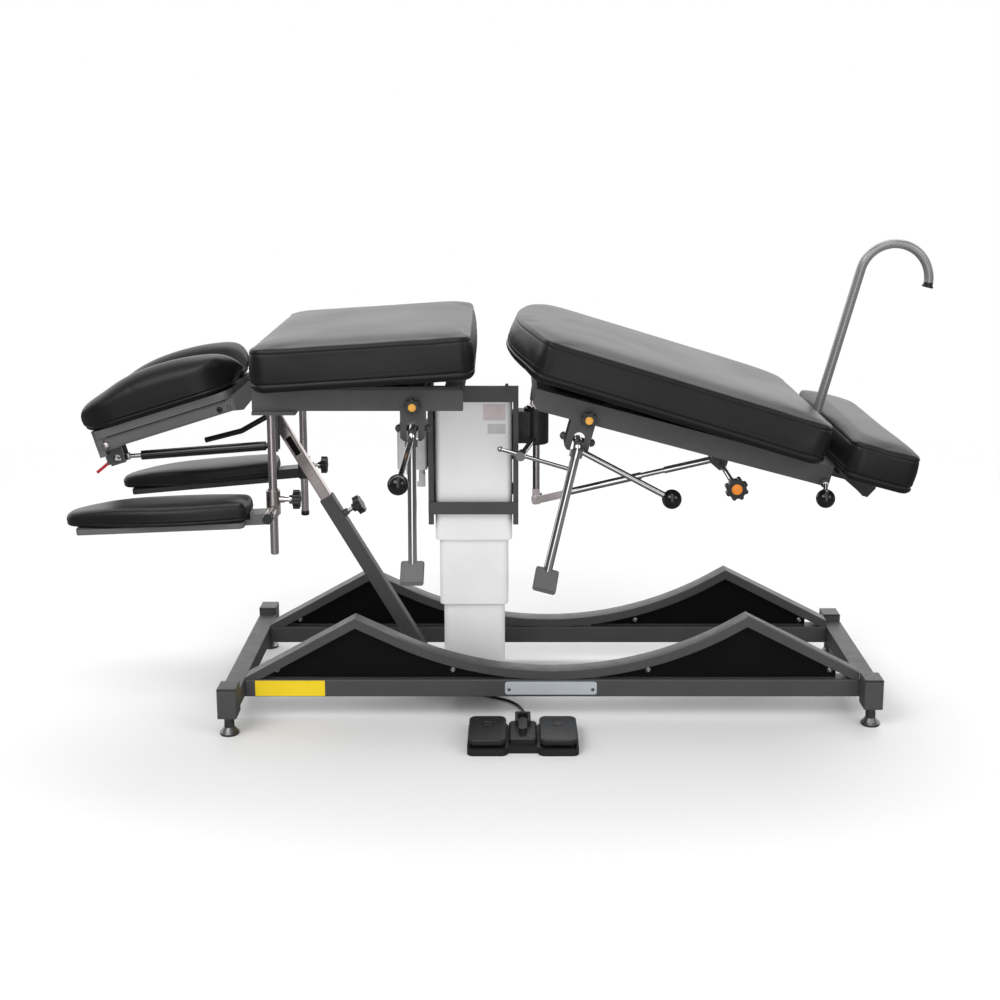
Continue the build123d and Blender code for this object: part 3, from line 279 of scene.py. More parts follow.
def world():
    """White to the camera, an even light, and in gloss a pale back with a darker front and one window."""
    surround = bpy.data.worlds.new("studio")
    bpy.context.scene.world = surround
    surround.use_nodes = True
    nt = surround.node_tree
    nt.nodes.clear()

    def background(strength):
        node = nt.nodes.new("ShaderNodeBackground")
        node.inputs["Color"].default_value = (1, 1, 1, 1)
        node.inputs["Strength"].default_value = strength
        return node.outputs[0]

    def mixed(factor, first, second):
        node = nt.nodes.new("ShaderNodeMixShader")
        nt.links.new(factor, node.inputs[0])
        nt.links.new(first, node.inputs[1])
        nt.links.new(second, node.inputs[2])
        return node.outputs[0]

    def ramp(value, low, high):
        node = nt.nodes.new("ShaderNodeMapRange")
        node.interpolation_type = "SMOOTHSTEP"
        node.inputs["From Min"].default_value = low
        node.inputs["From Max"].default_value = high
        nt.links.new(value, node.inputs["Value"])
        return node.outputs["Result"]

    def math_node(operation, *values):
        node = nt.nodes.new("ShaderNodeMath")
        node.operation = operation
        for value, socket in zip(values, node.inputs):
            nt.links.new(value, socket)
        return node.outputs[0]

    path = nt.nodes.new("ShaderNodeLightPath")
    glossy = math_node("MAXIMUM", path.outputs["Is Glossy Ray"], path.outputs["Is Transmission Ray"])
    coords = nt.nodes.new("ShaderNodeTexCoord")
    split = nt.nodes.new("ShaderNodeSeparateXYZ")
    nt.links.new(coords.outputs["Generated"], split.inputs[0])
    back = ramp(split.outputs["Y"], -0.1, 0.4)
    above = ramp(split.outputs["Z"], -0.1, -0.02)
    window = ramp(math_node("ABSOLUTE", split.outputs["X"]), 0.34, 0.16)
    before = ramp(split.outputs["Y"], 0.1, -0.2)
    pale = math_node("MAXIMUM", math_node("MULTIPLY", back, above), math_node("MULTIPLY", window, before))
    shine = mixed(pale, background(GLOSS_DIM), background(GLOSS_PALE))
    even = background(EVEN_LIGHT)
    white = background(1.0)
    out = nt.nodes.new("ShaderNodeOutputWorld")
    lit = mixed(glossy, even, shine)
    nt.links.new(mixed(path.outputs["Is Camera Ray"], lit, white), out.inputs["Surface"])


def camera():
    """The photograph's point of view."""
    data = bpy.data.cameras.new("camera")
    data.lens = CAMERA_LENS
    data.sensor_width = CAMERA_SENSOR
    data.shift_x, data.shift_y = CAMERA_SHIFT
    obj = bpy.data.objects.new("camera", data)
    obj.location = at(*CAMERA_AT)
    obj.rotation_euler = (math.radians(90 - CAMERA_PITCH), 0, 0)
    bpy.context.scene.collection.objects.link(obj)
    bpy.context.scene.camera = obj


# Materials; a texture's middle values span its two tones
TEXTURE_SPAN = (0.3, 0.7)


def principled(name, rough, metal=0.0, **sockets):
    """A new material with its node tree and its main shader."""
    mat = bpy.data.materials.new(name)
    mat.use_nodes = True
    bsdf = mat.node_tree.nodes["Principled BSDF"]
    bsdf.inputs["Roughness"].default_value = rough
    bsdf.inputs["Metallic"].default_value = metal
    for socket, value in sockets.items():
        bsdf.inputs[socket.replace("_", " ")].default_value = value
    return mat, mat.node_tree, bsdf


def noise_node(nt, scale, detail=4.0, rough=0.5, stretch=(1, 1, 1)):
    """A cloudy texture over the piece's own axes."""
    coords = nt.nodes.new("ShaderNodeTexCoord")
    mapping = nt.nodes.new("ShaderNodeMapping")
    mapping.inputs["Scale"].default_value = stretch
    nt.links.new(coords.outputs["Object"], mapping.inputs["Vector"])
    texture = nt.nodes.new("ShaderNodeTexNoise")
    texture.inputs["Scale"].default_value = scale
    texture.inputs["Detail"].default_value = detail
    texture.inputs["Roughness"].default_value = rough
    nt.links.new(mapping.outputs[0], texture.inputs["Vector"])
    return texture.outputs["Fac"]


def cells_node(nt, scale):
    """A texture of small cells, by the distance to their edges."""
    coords = nt.nodes.new("ShaderNodeTexCoord")
    texture = nt.nodes.new("ShaderNodeTexVoronoi")
    texture.feature = "DISTANCE_TO_EDGE"
    texture.inputs["Scale"].default_value = scale
    nt.links.new(coords.outputs["Object"], texture.inputs["Vector"])
    return texture.outputs["Distance"]


def tint(nt, bsdf, factor, dark, light):
    """Colour that varies between two tones with a texture."""
    ramp = nt.nodes.new("ShaderNodeValToRGB")
    for element, position, tone in zip(ramp.color_ramp.elements, TEXTURE_SPAN, (dark, light)):
        element.position = position
        element.color = (*tone, 1)
    nt.links.new(factor, ramp.inputs[0])
    nt.links.new(ramp.outputs[0], bsdf.inputs["Base Color"])


def vary(nt, bsdf, socket, factor, low, high):
    """A socket's value that varies between two limits with a texture."""
    span = nt.nodes.new("ShaderNodeMapRange")
    span.inputs["From Min"].default_value = TEXTURE_SPAN[0]
    span.inputs["From Max"].default_value = TEXTURE_SPAN[1]
    span.inputs["To Min"].default_value = low
    span.inputs["To Max"].default_value = high
    nt.links.new(factor, span.inputs["Value"])
    nt.links.new(span.outputs["Result"], bsdf.inputs[socket])


def relief(nt, bsdf, heights):
    """Bump from (factor, strength, distance) layers, one on another."""
    last = None
    for factor, strength, distance in heights:
        bump = nt.nodes.new("ShaderNodeBump")
        bump.inputs["Strength"].default_value = strength
        bump.inputs["Distance"].default_value = distance
        nt.links.new(factor, bump.inputs["Height"])
        if last is not None:
            nt.links.new(last, bump.inputs["Normal"])
        last = bump.outputs["Normal"]
    nt.links.new(last, bsdf.inputs["Normal"])


def leather():
    """Black upholstery leather: fine cells, faint creases, a soft sheen."""
    mat, nt, bsdf = principled("leather", 0.38, Specular_IOR_Level=0.3)
    tint(nt, bsdf, noise_node(nt, 5.0, 2.0), (0.0065, 0.0065, 0.007), (0.0095, 0.0095, 0.01))
    vary(nt, bsdf, "Roughness", noise_node(nt, 6.0, 2.0), 0.36, 0.41)
    grain = cells_node(nt, 620.0)
    creases = noise_node(nt, 34.0, 5.0, 0.55)
    relief(nt, bsdf, ((creases, 0.05, 0.003), (grain, 0.2, 0.0004)))
    return mat


def coat(name, dark, light, rough=0.46, grain=0.12, gloss=0.5):
    """Powder coat: a fine orange peel over an even colour."""
    mat, nt, bsdf = principled(name, rough, Specular_IOR_Level=gloss)
    tint(nt, bsdf, noise_node(nt, 9.0, 4.0), dark, light)
    vary(nt, bsdf, "Roughness", noise_node(nt, 40.0, 3.0), rough - 0.05, rough + 0.06)
    relief(nt, bsdf, ((noise_node(nt, 900.0, 2.0), grain, 0.0004),))
    return mat


def bright_metal(name, tone, rough, scratch=0.05, metal=1.0):
    """Plated or machined metal with hairline marks and slightly uneven gloss."""
    mat, nt, bsdf = principled(name, rough, metal)
    tint(nt, bsdf, noise_node(nt, 14.0, 3.0), tuple(0.92 * c for c in tone), tone)
    vary(nt, bsdf, "Roughness", noise_node(nt, 25.0, 2.0), rough * 0.92, rough * 1.12)
    relief(nt, bsdf, ((noise_node(nt, 700.0, 2.0, 0.5, (1, 1, 0.08)), scratch, 0.0002),))
    return mat


def plastic(name, tone, rough, grain=0.15, scale=1400.0):
    """Moulded plastic or rubber with a faint spark texture."""
    mat, nt, bsdf = principled(name, rough)
    tint(nt, bsdf, noise_node(nt, 30.0, 3.0), tuple(0.82 * c for c in tone), tone)
    vary(nt, bsdf, "Roughness", noise_node(nt, 90.0, 3.0), rough - 0.04, rough + 0.05)
    relief(nt, bsdf, ((noise_node(nt, scale, 2.0), grain, 0.0003),))
    return mat


# Every material by its short name
M = {
    "leather": leather(),
    "frame": coat("frame_coat", (0.058, 0.058, 0.061), (0.068, 0.068, 0.072)),
    "frame_dark": coat("frame_dark", (0.017, 0.017, 0.018), (0.024, 0.024, 0.026), 0.42),
    "handle": bright_metal("handle_coat", (0.3, 0.3, 0.305), 0.26, 0.0, 0.45),
    "tread": coat("tread_coat", (0.12, 0.12, 0.12), (0.15, 0.15, 0.15), 0.34, 0.1),
    "column": coat("column_coat", (0.88, 0.88, 0.88), (0.92, 0.92, 0.92), 0.4, 0.06),
    "shell": plastic("shell", (0.66, 0.67, 0.66), 0.5),
    "panel": coat("panel_black", (0.0025, 0.0025, 0.0025), (0.004, 0.004, 0.004), 0.5, 0.08, 0.15),
    "chrome": bright_metal("chrome", (0.72, 0.72, 0.73), 0.09),
    "satin": bright_metal("satin_steel", (0.64, 0.59, 0.59), 0.28, 0.004),
    "dull": bright_metal("dull_steel", (0.2, 0.2, 0.2), 0.36, 0.15),
    "bare_steel": bright_metal("bare_steel", (0.5, 0.445, 0.445), 0.26, 0.003),
    "arm_coat": coat("arm_coat", (0.1, 0.1, 0.1), (0.125, 0.122, 0.12), 0.4),
    "bar_coat": coat("bar_coat", (0.1, 0.1, 0.104), (0.118, 0.118, 0.123), 0.42),
    "knob": plastic("knob_black", (0.016, 0.016, 0.017), 0.36),
    "ball": plastic("ball_black", (0.009, 0.009, 0.009), 0.1, 0.03),
    "gloss": plastic("gloss_black", (0.012, 0.012, 0.012), 0.2, 0.04),
    "rubber": plastic("rubber", (0.018, 0.018, 0.019), 0.4, 0.2, 800.0),
    "red": plastic("red_grip", (0.5, 0.012, 0.02), 0.3),
    "yellow": plastic("yellow_cap", (0.86, 0.42, 0.06), 0.34),
    "orange": plastic("orange_cap", (0.88, 0.27, 0.02), 0.34),
    "strip": coat("yellow_strip", (0.9, 0.64, 0.004), (0.94, 0.68, 0.006), 0.4, 0.04),
    "bare_plate": bright_metal("bare_plate", (0.6, 0.64, 0.69), 0.4, 0.02, 0.25),
    "label": plastic("label", (0.8, 0.7, 0.71), 0.5, 0.05),
    "label_pale": plastic("label_pale", (0.72, 0.71, 0.71), 0.5, 0.05),
}

# Solids that wear one material, before some of their faces get another
WHOLE = {
    "frame": [
        "base_rails", "head_base_beam", "foot_base_beam", "near_arch_tube", "far_arch_tube", "column_bed",
        "column_yoke", "chest_frame", "leg_frame", "head_frame", "strut_outer_tube", "armrest_posts",
        "chest_pedal_lever", "leg_pedal_lever",
    ],
    "arm_coat": ["near_arm", "near_arm_collar"],
    # far_arm and far_arm_collar get the near-black coat as painted shade, while their near twins are mid
    # grey
    "frame_dark": [
        "chest_drop_board", "leg_drop_board", "far_arm", "far_arm_collar", "swing_housing", "foot_slide",
    ],
    "column": ["column_lower_stage", "column_middle_stage", "column_upper_stage"],
    "shell": ["control_box"],
    "panel": ["infill_panels"],
    "chrome": [
        "tilt_strut_tube", "tilt_strut_rod", "chest_ball_lever", "leg_ball_lever", "foot_lock_lever",
        "head_spring_rod", "swing_clamp_bar", "near_arm_knob", "far_arm_knob", "strut_clamp_knob",
        "tilt_lock_knob", "lift_spindle",
    ],
    "satin": ["king_pin", "near_arm_bush", "far_arm_bush"],
    "dull": ["levelling_feet"],
    "bare_steel": ["strut_inner_tube"],
    "handle": ["cane_handle"],
    "knob": ["post_caps", "chest_tension_knob", "leg_tension_knob"],
    "gloss": ["head_spring_tube"],
    "red": ["head_release_lever"],
    "rubber": ["foot_switch_base", "foot_switch_up_pedal", "foot_switch_down_pedal"],
}


def paint(node, material, test=None):
    """Gives a carried-over solid its material, or only the faces whose middle passes the test."""
    data = nodes[node].data
    if test is None:
        data.materials.clear()
        data.materials.append(M[material])
        return
    data.materials.append(M[material])
    slot = len(data.materials) - 1
    for face in data.polygons:
        if test(design(face.center)):
            face.material_index = slot


def near_line(a, b, radius):
    """A test that is true within a radius of the line from a to b."""
    a, b = design(a), design(b)
    way = (b - a).normalized()
    reach = (b - a).length
    slack = 0.5

    def test(p):
        along = (p - a).dot(way)
        return -slack <= along <= reach + slack and ((p - a) - way * along).length < radius
    return test


def dress_solids():
    """Gives every carried-over solid its materials."""
    for material, names in WHOLE.items():
        for name in names:
            paint(name, material)
    paint_pedal_lever("chest_pedal_lever", lambda x, y, z: at(x - 127, y, z + 711), 0.0)
    paint_pedal_lever("leg_pedal_lever", lambda x, y, z: leg_at(x + 93.5, y, z + 20.6), 8.0)
    paint_ball("chest_ball_lever", -1, -1, 21.0)
    paint_ball("leg_ball_lever", 1, 0, 21.0)
    paint_ball("foot_lock_lever", 0, -1, 20.0)
    paint_grips()
    paint_armrest_fittings()
    paint_small_areas()


def paint_pedal_lever(node, place, lean):
    """Bright rods from the axle down to the tread, and the tread's own coat."""
    bend = place(0, -262, -43)
    rod = 9.5
    paint(node, "chrome", near_line(place(0, -212, -43), bend, rod))
    paint(node, "chrome", near_line(bend, place(lean, -280, -318), rod))
    tread = design(place(lean, -280, -350))
    paint(node, "tread", lambda p: (p - tread).length < 46)


def paint_ball(node, side_x, side_y, inset):
    """The black ball at a lever's end: at the bottom of its box, on the given sides of it."""
    low, high = (design(corner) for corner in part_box(node))
    middle, half = (low + high) / 2, (high - low) / 2
    x = middle.x + side_x * (half.x - inset)
    y = middle.y + side_y * (half.y - inset)
    centre = Vector((x, y, low.z + inset))
    paint(node, "ball", lambda p: (p - centre).length < 21.6)


def paint_grips():
    """Black grips of the screw knobs; their studs stay bright."""
    reach = 30
    for node, start, way in (
        ("near_arm_knob", at(POST_X + 40, -POST_Y, 515), (1, 0, 0)),
        ("far_arm_knob", at(POST_X + 40, POST_Y, 484), (1, 0, 0)),
        ("tilt_lock_knob", leg_at(LOCK_KNOB[0], -235, LOCK_KNOB[1]), (0, -1, 0)),
    ):
        paint(node, "knob", near_line(start, start + Vector(way) * 0.024, reach))
    foot = at(*STRUT_FOOT)
    strut = (at(*STRUT_TOP) - foot).normalized()
    across = Vector((strut.z, 0, -strut.x))
    boss = foot + strut * 0.398 + across * 0.048
    paint("strut_clamp_knob", "knob", near_line(boss - across * 0.008, boss + across * 0.02, reach))


def paint_armrest_fittings():
    """Plastic ends, bright sleeves and bright posts."""
    for side, name in ((-1, "near_arm_collar"), (1, "far_arm_collar")):
        paint(name, "knob", lambda p, s=side: s * p.y > POST_Y + 75.9)
    # Only the near collar gets the bright sleeve band; the far collar stays near black as painted shade
    paint("near_arm_collar", "satin", lambda p: abs(p.y + POST_Y) < 17)
    paint("near_arm", "satin", lambda p: Vector((p.x - POST_X, p.z - 492)).length < 14)
    paint("armrest_posts", "satin", lambda p: p.z < 702.9)


def paint_small_areas():
    """The tilt strut's bracket, the handle's end, the release rod, the head bar, the yoke's foot side."""
    paint("tilt_strut_tube", "satin", near_line(at(128, 0, 454), at(202, 0, 472), 17))
    paint("cane_handle", "knob", lambda p: p.x > 1000 and p.z < 958)
    paint("chest_frame", "gloss", lambda p: 44 < p.y < 60 and p.z < 700 and p.x < -446)
    paint("head_frame", "bar_coat", lambda p: p.y < -119.5)
    paint("column_yoke", "frame_dark", lambda p: p.z > 700 and p.x > 60)


def soften(node, width):
    """Rounds a solid's sharp edges a little, as bent tube and sheet have them."""
    obj = nodes[node]
    weld = obj.modifiers.new("weld", "WELD")
    weld.merge_threshold = 0.00002
    sharp = 38.0
    bevel = obj.modifiers.new("bevel", "BEVEL")
    bevel.width = width
    bevel.segments = 2
    bevel.limit_method = "ANGLE"
    bevel.angle_limit = math.radians(sharp)
    bevel.use_clamp_overlap = True
    bevel.harden_normals = False


# Soft pieces
def level_copy(node, name, slope):
    """A copy of a soft solid's mesh, turned level."""
    mesh = nodes[node].data.copy()
    mesh.name = name
    mesh.materials.clear()
    mesh.transform(turn_y(-slope))
    return new_object(name, mesh)


def apply_modifiers(obj):
    """Makes the piece's modified form its own mesh."""
    graph = bpy.context.evaluated_depsgraph_get()
    mesh = bpy.data.meshes.new_from_object(obj.evaluated_get(graph))
    obj.modifiers.clear()
    obj.data = mesh


def remesh(obj, voxel):
    """An even mesh over the same form, for the cloth to work on."""
    weld = obj.modifiers.new("weld", "WELD")
    weld.merge_threshold = 0.00005
    mod = obj.modifiers.new("remesh", "REMESH")
    mod.mode = "VOXEL"
    mod.voxel_size = voxel
    apply_modifiers(obj)


def relax(obj, rounds):
    """Rounds the form off."""
    mod = obj.modifiers.new("smooth", "SMOOTH")
    mod.iterations = rounds
    mod.factor = 0.5
    apply_modifiers(obj)


def even_out(mesh, moves, rounds=3):
    """The moves, each averaged with its neighbours', so that the swelling has no pinches."""
    edges = [tuple(edge.vertices) for edge in mesh.edges]
    for _ in range(rounds):
        total = [move.copy() for move in moves]
        count = [1] * len(moves)
        for a, b in edges:
            total[a] += moves[b]
            total[b] += moves[a]
            count[a] += 1
            count[b] += 1
        moves = [move / n for move, n in zip(total, count)]
    return moves


def inflate(obj, pressure, cap, held, share):
    """Cloth under pressure: points under the held height stay, the rest takes a share of its swelling."""
    before = [v.co.copy() for v in obj.data.vertices]
    group = obj.vertex_groups.new(name="held")
    for v in obj.data.vertices:
        if v.co.z < held:
            group.add([v.index], 1.0, "REPLACE")
    mod = obj.modifiers.new("cloth", "CLOTH")
    mod.settings.quality = 4
    mod.settings.mass = 0.25
    mod.settings.tension_stiffness = 12
    mod.settings.compression_stiffness = 12
    mod.settings.shear_stiffness = 6
    mod.settings.bending_stiffness = 0.6
    mod.settings.use_pressure = True
    mod.settings.uniform_pressure_force = pressure
    mod.settings.vertex_group_mass = "held"
    mod.settings.effector_weights.gravity = 0
    scene = bpy.context.scene
    scene.frame_start, scene.frame_end = 1, CLOTH_STEPS
    mod.point_cache.frame_start, mod.point_cache.frame_end = 1, CLOTH_STEPS
    for step in range(1, CLOTH_STEPS + 1):
        scene.frame_set(step)
    apply_modifiers(obj)
    moves = even_out(obj.data, [(v.co - old) * share for v, old in zip(obj.data.vertices, before)])
    for v, old, move in zip(obj.data.vertices, before, moves):
        if move.length > cap:
            move = move.normalized() * cap
        v.co = old + move
    scene.frame_set(1)


def crown(obj, rise, low, high):
    """Raises the top behind its edges, as foam under stretched leather stands."""
    middle, half = (low + high) / 2, (high - low) / 2
    for v in obj.data.vertices:
        u, w = (v.co.x - middle.x) / half.x, (v.co.y - middle.y) / half.y
        up = (v.co.z - low.z) / (high.z - low.z)
        # Nearly level, falling off steeply by the four edges
        fall = max(0.0, 1 - abs(u) ** 7) * max(0.0, 1 - abs(w) ** 9)
        v.co.z += rise * fall * max(0.0, up) ** 3


def seam(obj, height, depth, width):
    """A sewn groove round the side at a height, with the leather drawn in along it."""
    bm = bmesh.new()
    bm.from_mesh(obj.data)
    for step in (-1.6, -0.8, 0.0, 0.8, 1.6):
        bmesh.ops.bisect_plane(
            bm, geom=bm.verts[:] + bm.edges[:] + bm.faces[:],
            plane_co=(0, 0, height + step * width), plane_no=(0, 0, 1),
        )
    bm.normal_update()
    for v in bm.verts:
        gap = abs(v.co.z - height) / width
        if gap < 2.2:
            out = Vector((v.normal.x, v.normal.y, 0))
            if out.length > 1e-6:
                dip = math.exp(-(gap * 1.5) ** 2)
                swell = math.exp(-((gap - 1.5) * 1.6) ** 2)
                v.co += out.normalized() * (0.35 * swell - dip) * depth
    bm.to_mesh(obj.data)
    bm.free()


def level_paths(obj, height):
    """The closed lines in which a level plane cuts a piece."""
    bm = bmesh.new()
    bm.from_mesh(obj.data)
    cut = bmesh.ops.bisect_plane(
        bm, geom=bm.verts[:] + bm.edges[:] + bm.faces[:],
        plane_co=(0, 0, height), plane_no=(0, 0, 1),
    )["geom_cut"]
    edges = [e for e in cut if isinstance(e, bmesh.types.BMEdge)]
    verts = [v for v in cut if isinstance(v, bmesh.types.BMVert)]
    links = {v: [e.other_vert(v) for e in edges if v in e.verts] for v in verts}
    left = set(verts)
    paths = []
    for start in verts:
        path = []
        ahead = [start] if start in left else []
        while ahead:
            here = ahead[0]
            left.discard(here)
            path.append(here.co.copy())
            ahead = [v for v in links[here] if v in left]
        if len(path) >= 20:
            paths.append(path + path[:1])
    bm.free()
    return paths


def stitches(name, obj, height, body, slope):
    """A row of short thread stitches just above a seam, following the leather."""
    bm = bmesh.new()
    for path in level_paths(obj, height):
        lay_thread(bm, path)
    for v in bm.verts:
        v.co = turn_y(slope) @ v.co
    from_bmesh(name, bm, M["gloss"], body)


def lay_thread(bm, path):
    """Stitches of two thirds of the pitch along a closed path, dipping into the leather at both ends."""
    centre = sum(path, Vector()) / len(path)
    half = THREAD_PITCH * 0.33
    sides = 5
    walked, target = 0.0, 0.0
    for a, b in zip(path, path[1:]):
        run = (b - a).length
        while walked + run > target:
            point = a.lerp(b, (target - walked) / run)
            way = (b - a).normalized()
            out = Vector((way.y, -way.x, 0))
            if out.dot(point - centre) < 0:
                out = -out
            rows = []
            for s, lift in ((-1, -0.0003), (-0.5, 0.0004), (0.5, 0.0004), (1, -0.0003)):
                ring = []
                for i in range(sides):
                    angle = 2 * math.pi * i / sides
                    side = out * math.cos(angle) + Vector((0, 0, math.sin(angle)))
                    ring.append(bm.verts.new(point + way * half * s + out * lift + side * THREAD_RADIUS))
                rows.append(ring)
            for low, high in zip(rows, rows[1:]):
                for i in range(sides):
                    j = (i + 1) % sides
                    bm.faces.new((low[i], low[j], high[j], high[i]))
            target += THREAD_PITCH
        walked += run


def settle(obj, slope, body, node):
    obj.data.transform(turn_y(slope))
    obj.data.materials.clear()
    obj.data.materials.append(M["leather"])
    obj.data.polygons.foreach_set("use_smooth", [True] * len(obj.data.polygons))
    sub = obj.modifiers.new("fine", "SUBSURF")
    sub.levels = sub.render_levels = 1
    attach(obj, body)
    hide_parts(node)


def box_of(obj):
    """The low and the high corner of a piece."""
    axes = list(zip(*(v.co for v in obj.data.vertices)))
    return Vector([min(values) for values in axes]), Vector([max(values) for values in axes])


def half_arc(centre, radius, start):
    """Five points and outward normals along 45 degrees of a corner, from a start angle."""
    points = []
    for i in range(5):
        angle = math.radians(start + 45.0 * i / 4)
        out = Vector((math.cos(angle), math.sin(angle)))
        points.append((centre + out * radius, out))
    return points


def plan_sides(low, high, radii, step):
    """Near, foot-end, far and head-end side of a rounded plan, each from corner middle to corner middle."""
    corners = []
    inward = ((1, 1), (-1, 1), (-1, -1), (1, -1))
    for (sx, sy), radius in zip(inward, radii):
        x = low.x if sx > 0 else high.x
        y = low.y if sy > 0 else high.y
        corners.append((Vector((x + sx * radius, y + sy * radius)), radius))
    sides = []
    for k in range(4):
        first, last = corners[k], corners[(k + 1) % 4]
        square_out = 90.0 * k - 90.0
        head = half_arc(*first, square_out - 45.0)
        tail = half_arc(*last, square_out)
        a, out = head[-1]
        b = tail[0][0]
        reach = (high.x - low.x) if k % 2 == 0 else (high.y - low.y)
        count = max(4, round(reach / step))
        run = [(a.lerp(b, i / count), out) for i in range(1, count)]
        sides.append(head + run + tail)
    return sides


def patch(bm, sides, inset, height, flip):
    """A grid of quads spanned between four sides; gives back its border as one loop."""
    near, end, far, start = ([p - out * inset for p, out in side] for side in sides)
    far, start = far[::-1], start[::-1]
    nx, ny = len(near) - 1, len(end) - 1
    rows = []
    for j in range(ny + 1):
        t = j / ny
        row = []
        for i in range(nx + 1):
            s = i / nx
            across = near[i] * (1 - t) + far[i] * t
            along = start[j] * (1 - s) + end[j] * s
            corner = (near[0] * (1 - s) + near[-1] * s) * (1 - t) + (far[0] * (1 - s) + far[-1] * s) * t
            flat = across + along - corner
            row.append(bm.verts.new((flat.x, flat.y, height)))
        rows.append(row)
    for j in range(ny):
        for i in range(nx):
            face = (rows[j][i], rows[j][i + 1], rows[j + 1][i + 1], rows[j + 1][i])
            bm.faces.new(face[::-1] if flip else face)
    last = [row[-1] for row in rows]
    first = [row[0] for row in rows]
    return rows[0][:-1] + last[:-1] + rows[-1][:0:-1] + first[:0:-1]


def side_levels(low, high, step):
    """Insets and heights of a flat cushion's side, from the top edge down to the underside."""
    seam_z = low.z + SEAM_UP
    upper = high.z + TOP_EDGE[-1][1]
    lower = seam_z + SEAM_EDGE[0][1]
    bulge = TOP_EDGE[-1][0]
    levels = [(inset, high.z + z) for inset, z in TOP_EDGE]
    count = round((upper - lower) / step)
    for i in range(1, count):
        t = i / count
        levels.append((bulge - SIDE_BULGE * math.sin(math.pi * t), upper + (lower - upper) * t))
    levels += [(inset, seam_z + z) for inset, z in SEAM_EDGE]
    levels += [(inset, low.z + z) for inset, z in UNDER_EDGE]
    return levels


def block_mesh(name, low, high, radii, step):
    """An upholstered block: crisp top edge with a stitched line under it, a sewn band along the bottom."""
    sides = plan_sides(low, high, radii, step)
    loop = [pair for side in sides for pair in side[:-1]]
    bm = bmesh.new()
    rings = [patch(bm, sides, TOP_INSET, high.z, False)]
    for inset, z in side_levels(low, high, step):
        rings.append([bm.verts.new((*(p - out * inset), z)) for p, out in loop])
    rings.append(patch(bm, sides, UNDER_INSET, low.z, True))
    for upper, lower in zip(rings, rings[1:]):
        for i in range(len(loop)):
            j = (i + 1) % len(loop)
            bm.faces.new((upper[i], lower[i], lower[j], upper[j]))
    bmesh.ops.recalc_face_normals(bm, faces=bm.faces)
    mesh = bpy.data.meshes.new(name)
    bm.to_mesh(mesh)
    bm.free()
    return mesh


def section_cushion(node, name, slope, body, step, radii, ends, lift, rise, droop=0.0, bow=0.0, skew=0.0):
    """One of the flat cushions: its block swollen a little and crowned.

    The ends and the lift move the head end, the foot end and the top from the solid's. The sides droop
    where they overhang, the head end's corners bow back, and the far corner of the foot end is skewed in.
    """
    solid = level_copy(node, name, slope)
    low, high = box_of(solid)
    bpy.data.objects.remove(solid)
    low.x += ends[0]
    high.x += ends[1]
    high.z += lift
    obj = new_object(name, block_mesh(name, low, high, radii, step))
    middle, half = (low + high) / 2, (high - low) / 2
    for v in obj.data.vertices:
        u, w = (v.co.x - middle.x) / half.x, (v.co.y - middle.y) / half.y
        v.co.x += bow * w * w * max(0.0, -u - 0.5) * 2.0
        v.co.x += skew * (0.5 + 0.5 * w) * max(0.0, u)
    inflate(obj, 2.2, 0.004, low.z + BAND_HELD, 0.35)
    crown(obj, rise, low, high)
    for v in obj.data.vertices:
        w = abs(v.co.y - middle.y) / half.y
        edge = max(0.0, w - DROOP_FROM) / (1 - DROOP_FROM)
        v.co.z -= droop * edge * max(0.0, 1 - (v.co.z - low.z) / DROOP_HEIGHT)
    stitches(name + "_thread", obj, low.z + SEAM_UP + THREAD_OVER_SEAM, body, slope)
    settle(obj, slope, body, node)


def arm_cushion(node, name, slope, body):
    """A boat-shaped pad that thins towards its free end."""
    obj = level_copy(node, name, slope)
    low, high = box_of(obj)
    taper, thinner = 0.4 * (high.x - low.x), 0.34
    for v in obj.data.vertices:
        tip = max(0.0, 1 - (v.co.x - low.x) / taper)
        v.co.z = low.z + (v.co.z - low.z) * (1 - thinner * tip * tip)
    remesh(obj, 0.0045)
    relax(obj, 8)
    inflate(obj, 1.6, 0.003, low.z + 0.006, 0.35)
    relax(obj, 6)
    seam(obj, low.z + 0.010, 0.0014, 0.0022)
    settle(obj, slope, body, node)


def head_cushion():
    """The contoured headpiece: two long cheek bolsters, a lower brow, a face slot between."""
    obj = level_copy("head_cushion", "head_pad", -HEAD_SLOPE)
    low, high = box_of(obj)
    remesh(obj, 0.005)
    middle = (low.y + high.y) / 2
    ridge, half_width, sink, base = 0.091, 0.049, 0.030, 0.2
    for v in obj.data.vertices:
        up = (v.co.z - low.z) / (high.z - low.z)
        if up > base:
            bolster = (abs(v.co.y - middle) - ridge) / half_width
            v.co.z -= sink * (abs(bolster) ** 2.4) * (up - base) / (1 - base)
    relax(obj, 26)
    inflate(obj, 2.2, 0.005, low.z + 0.008, 0.5)
    relax(obj, 8)
    seam(obj, low.z + 0.012, 0.0016, 0.0024)
    settle(obj, -HEAD_SLOPE, "head_section", "head_cushion")


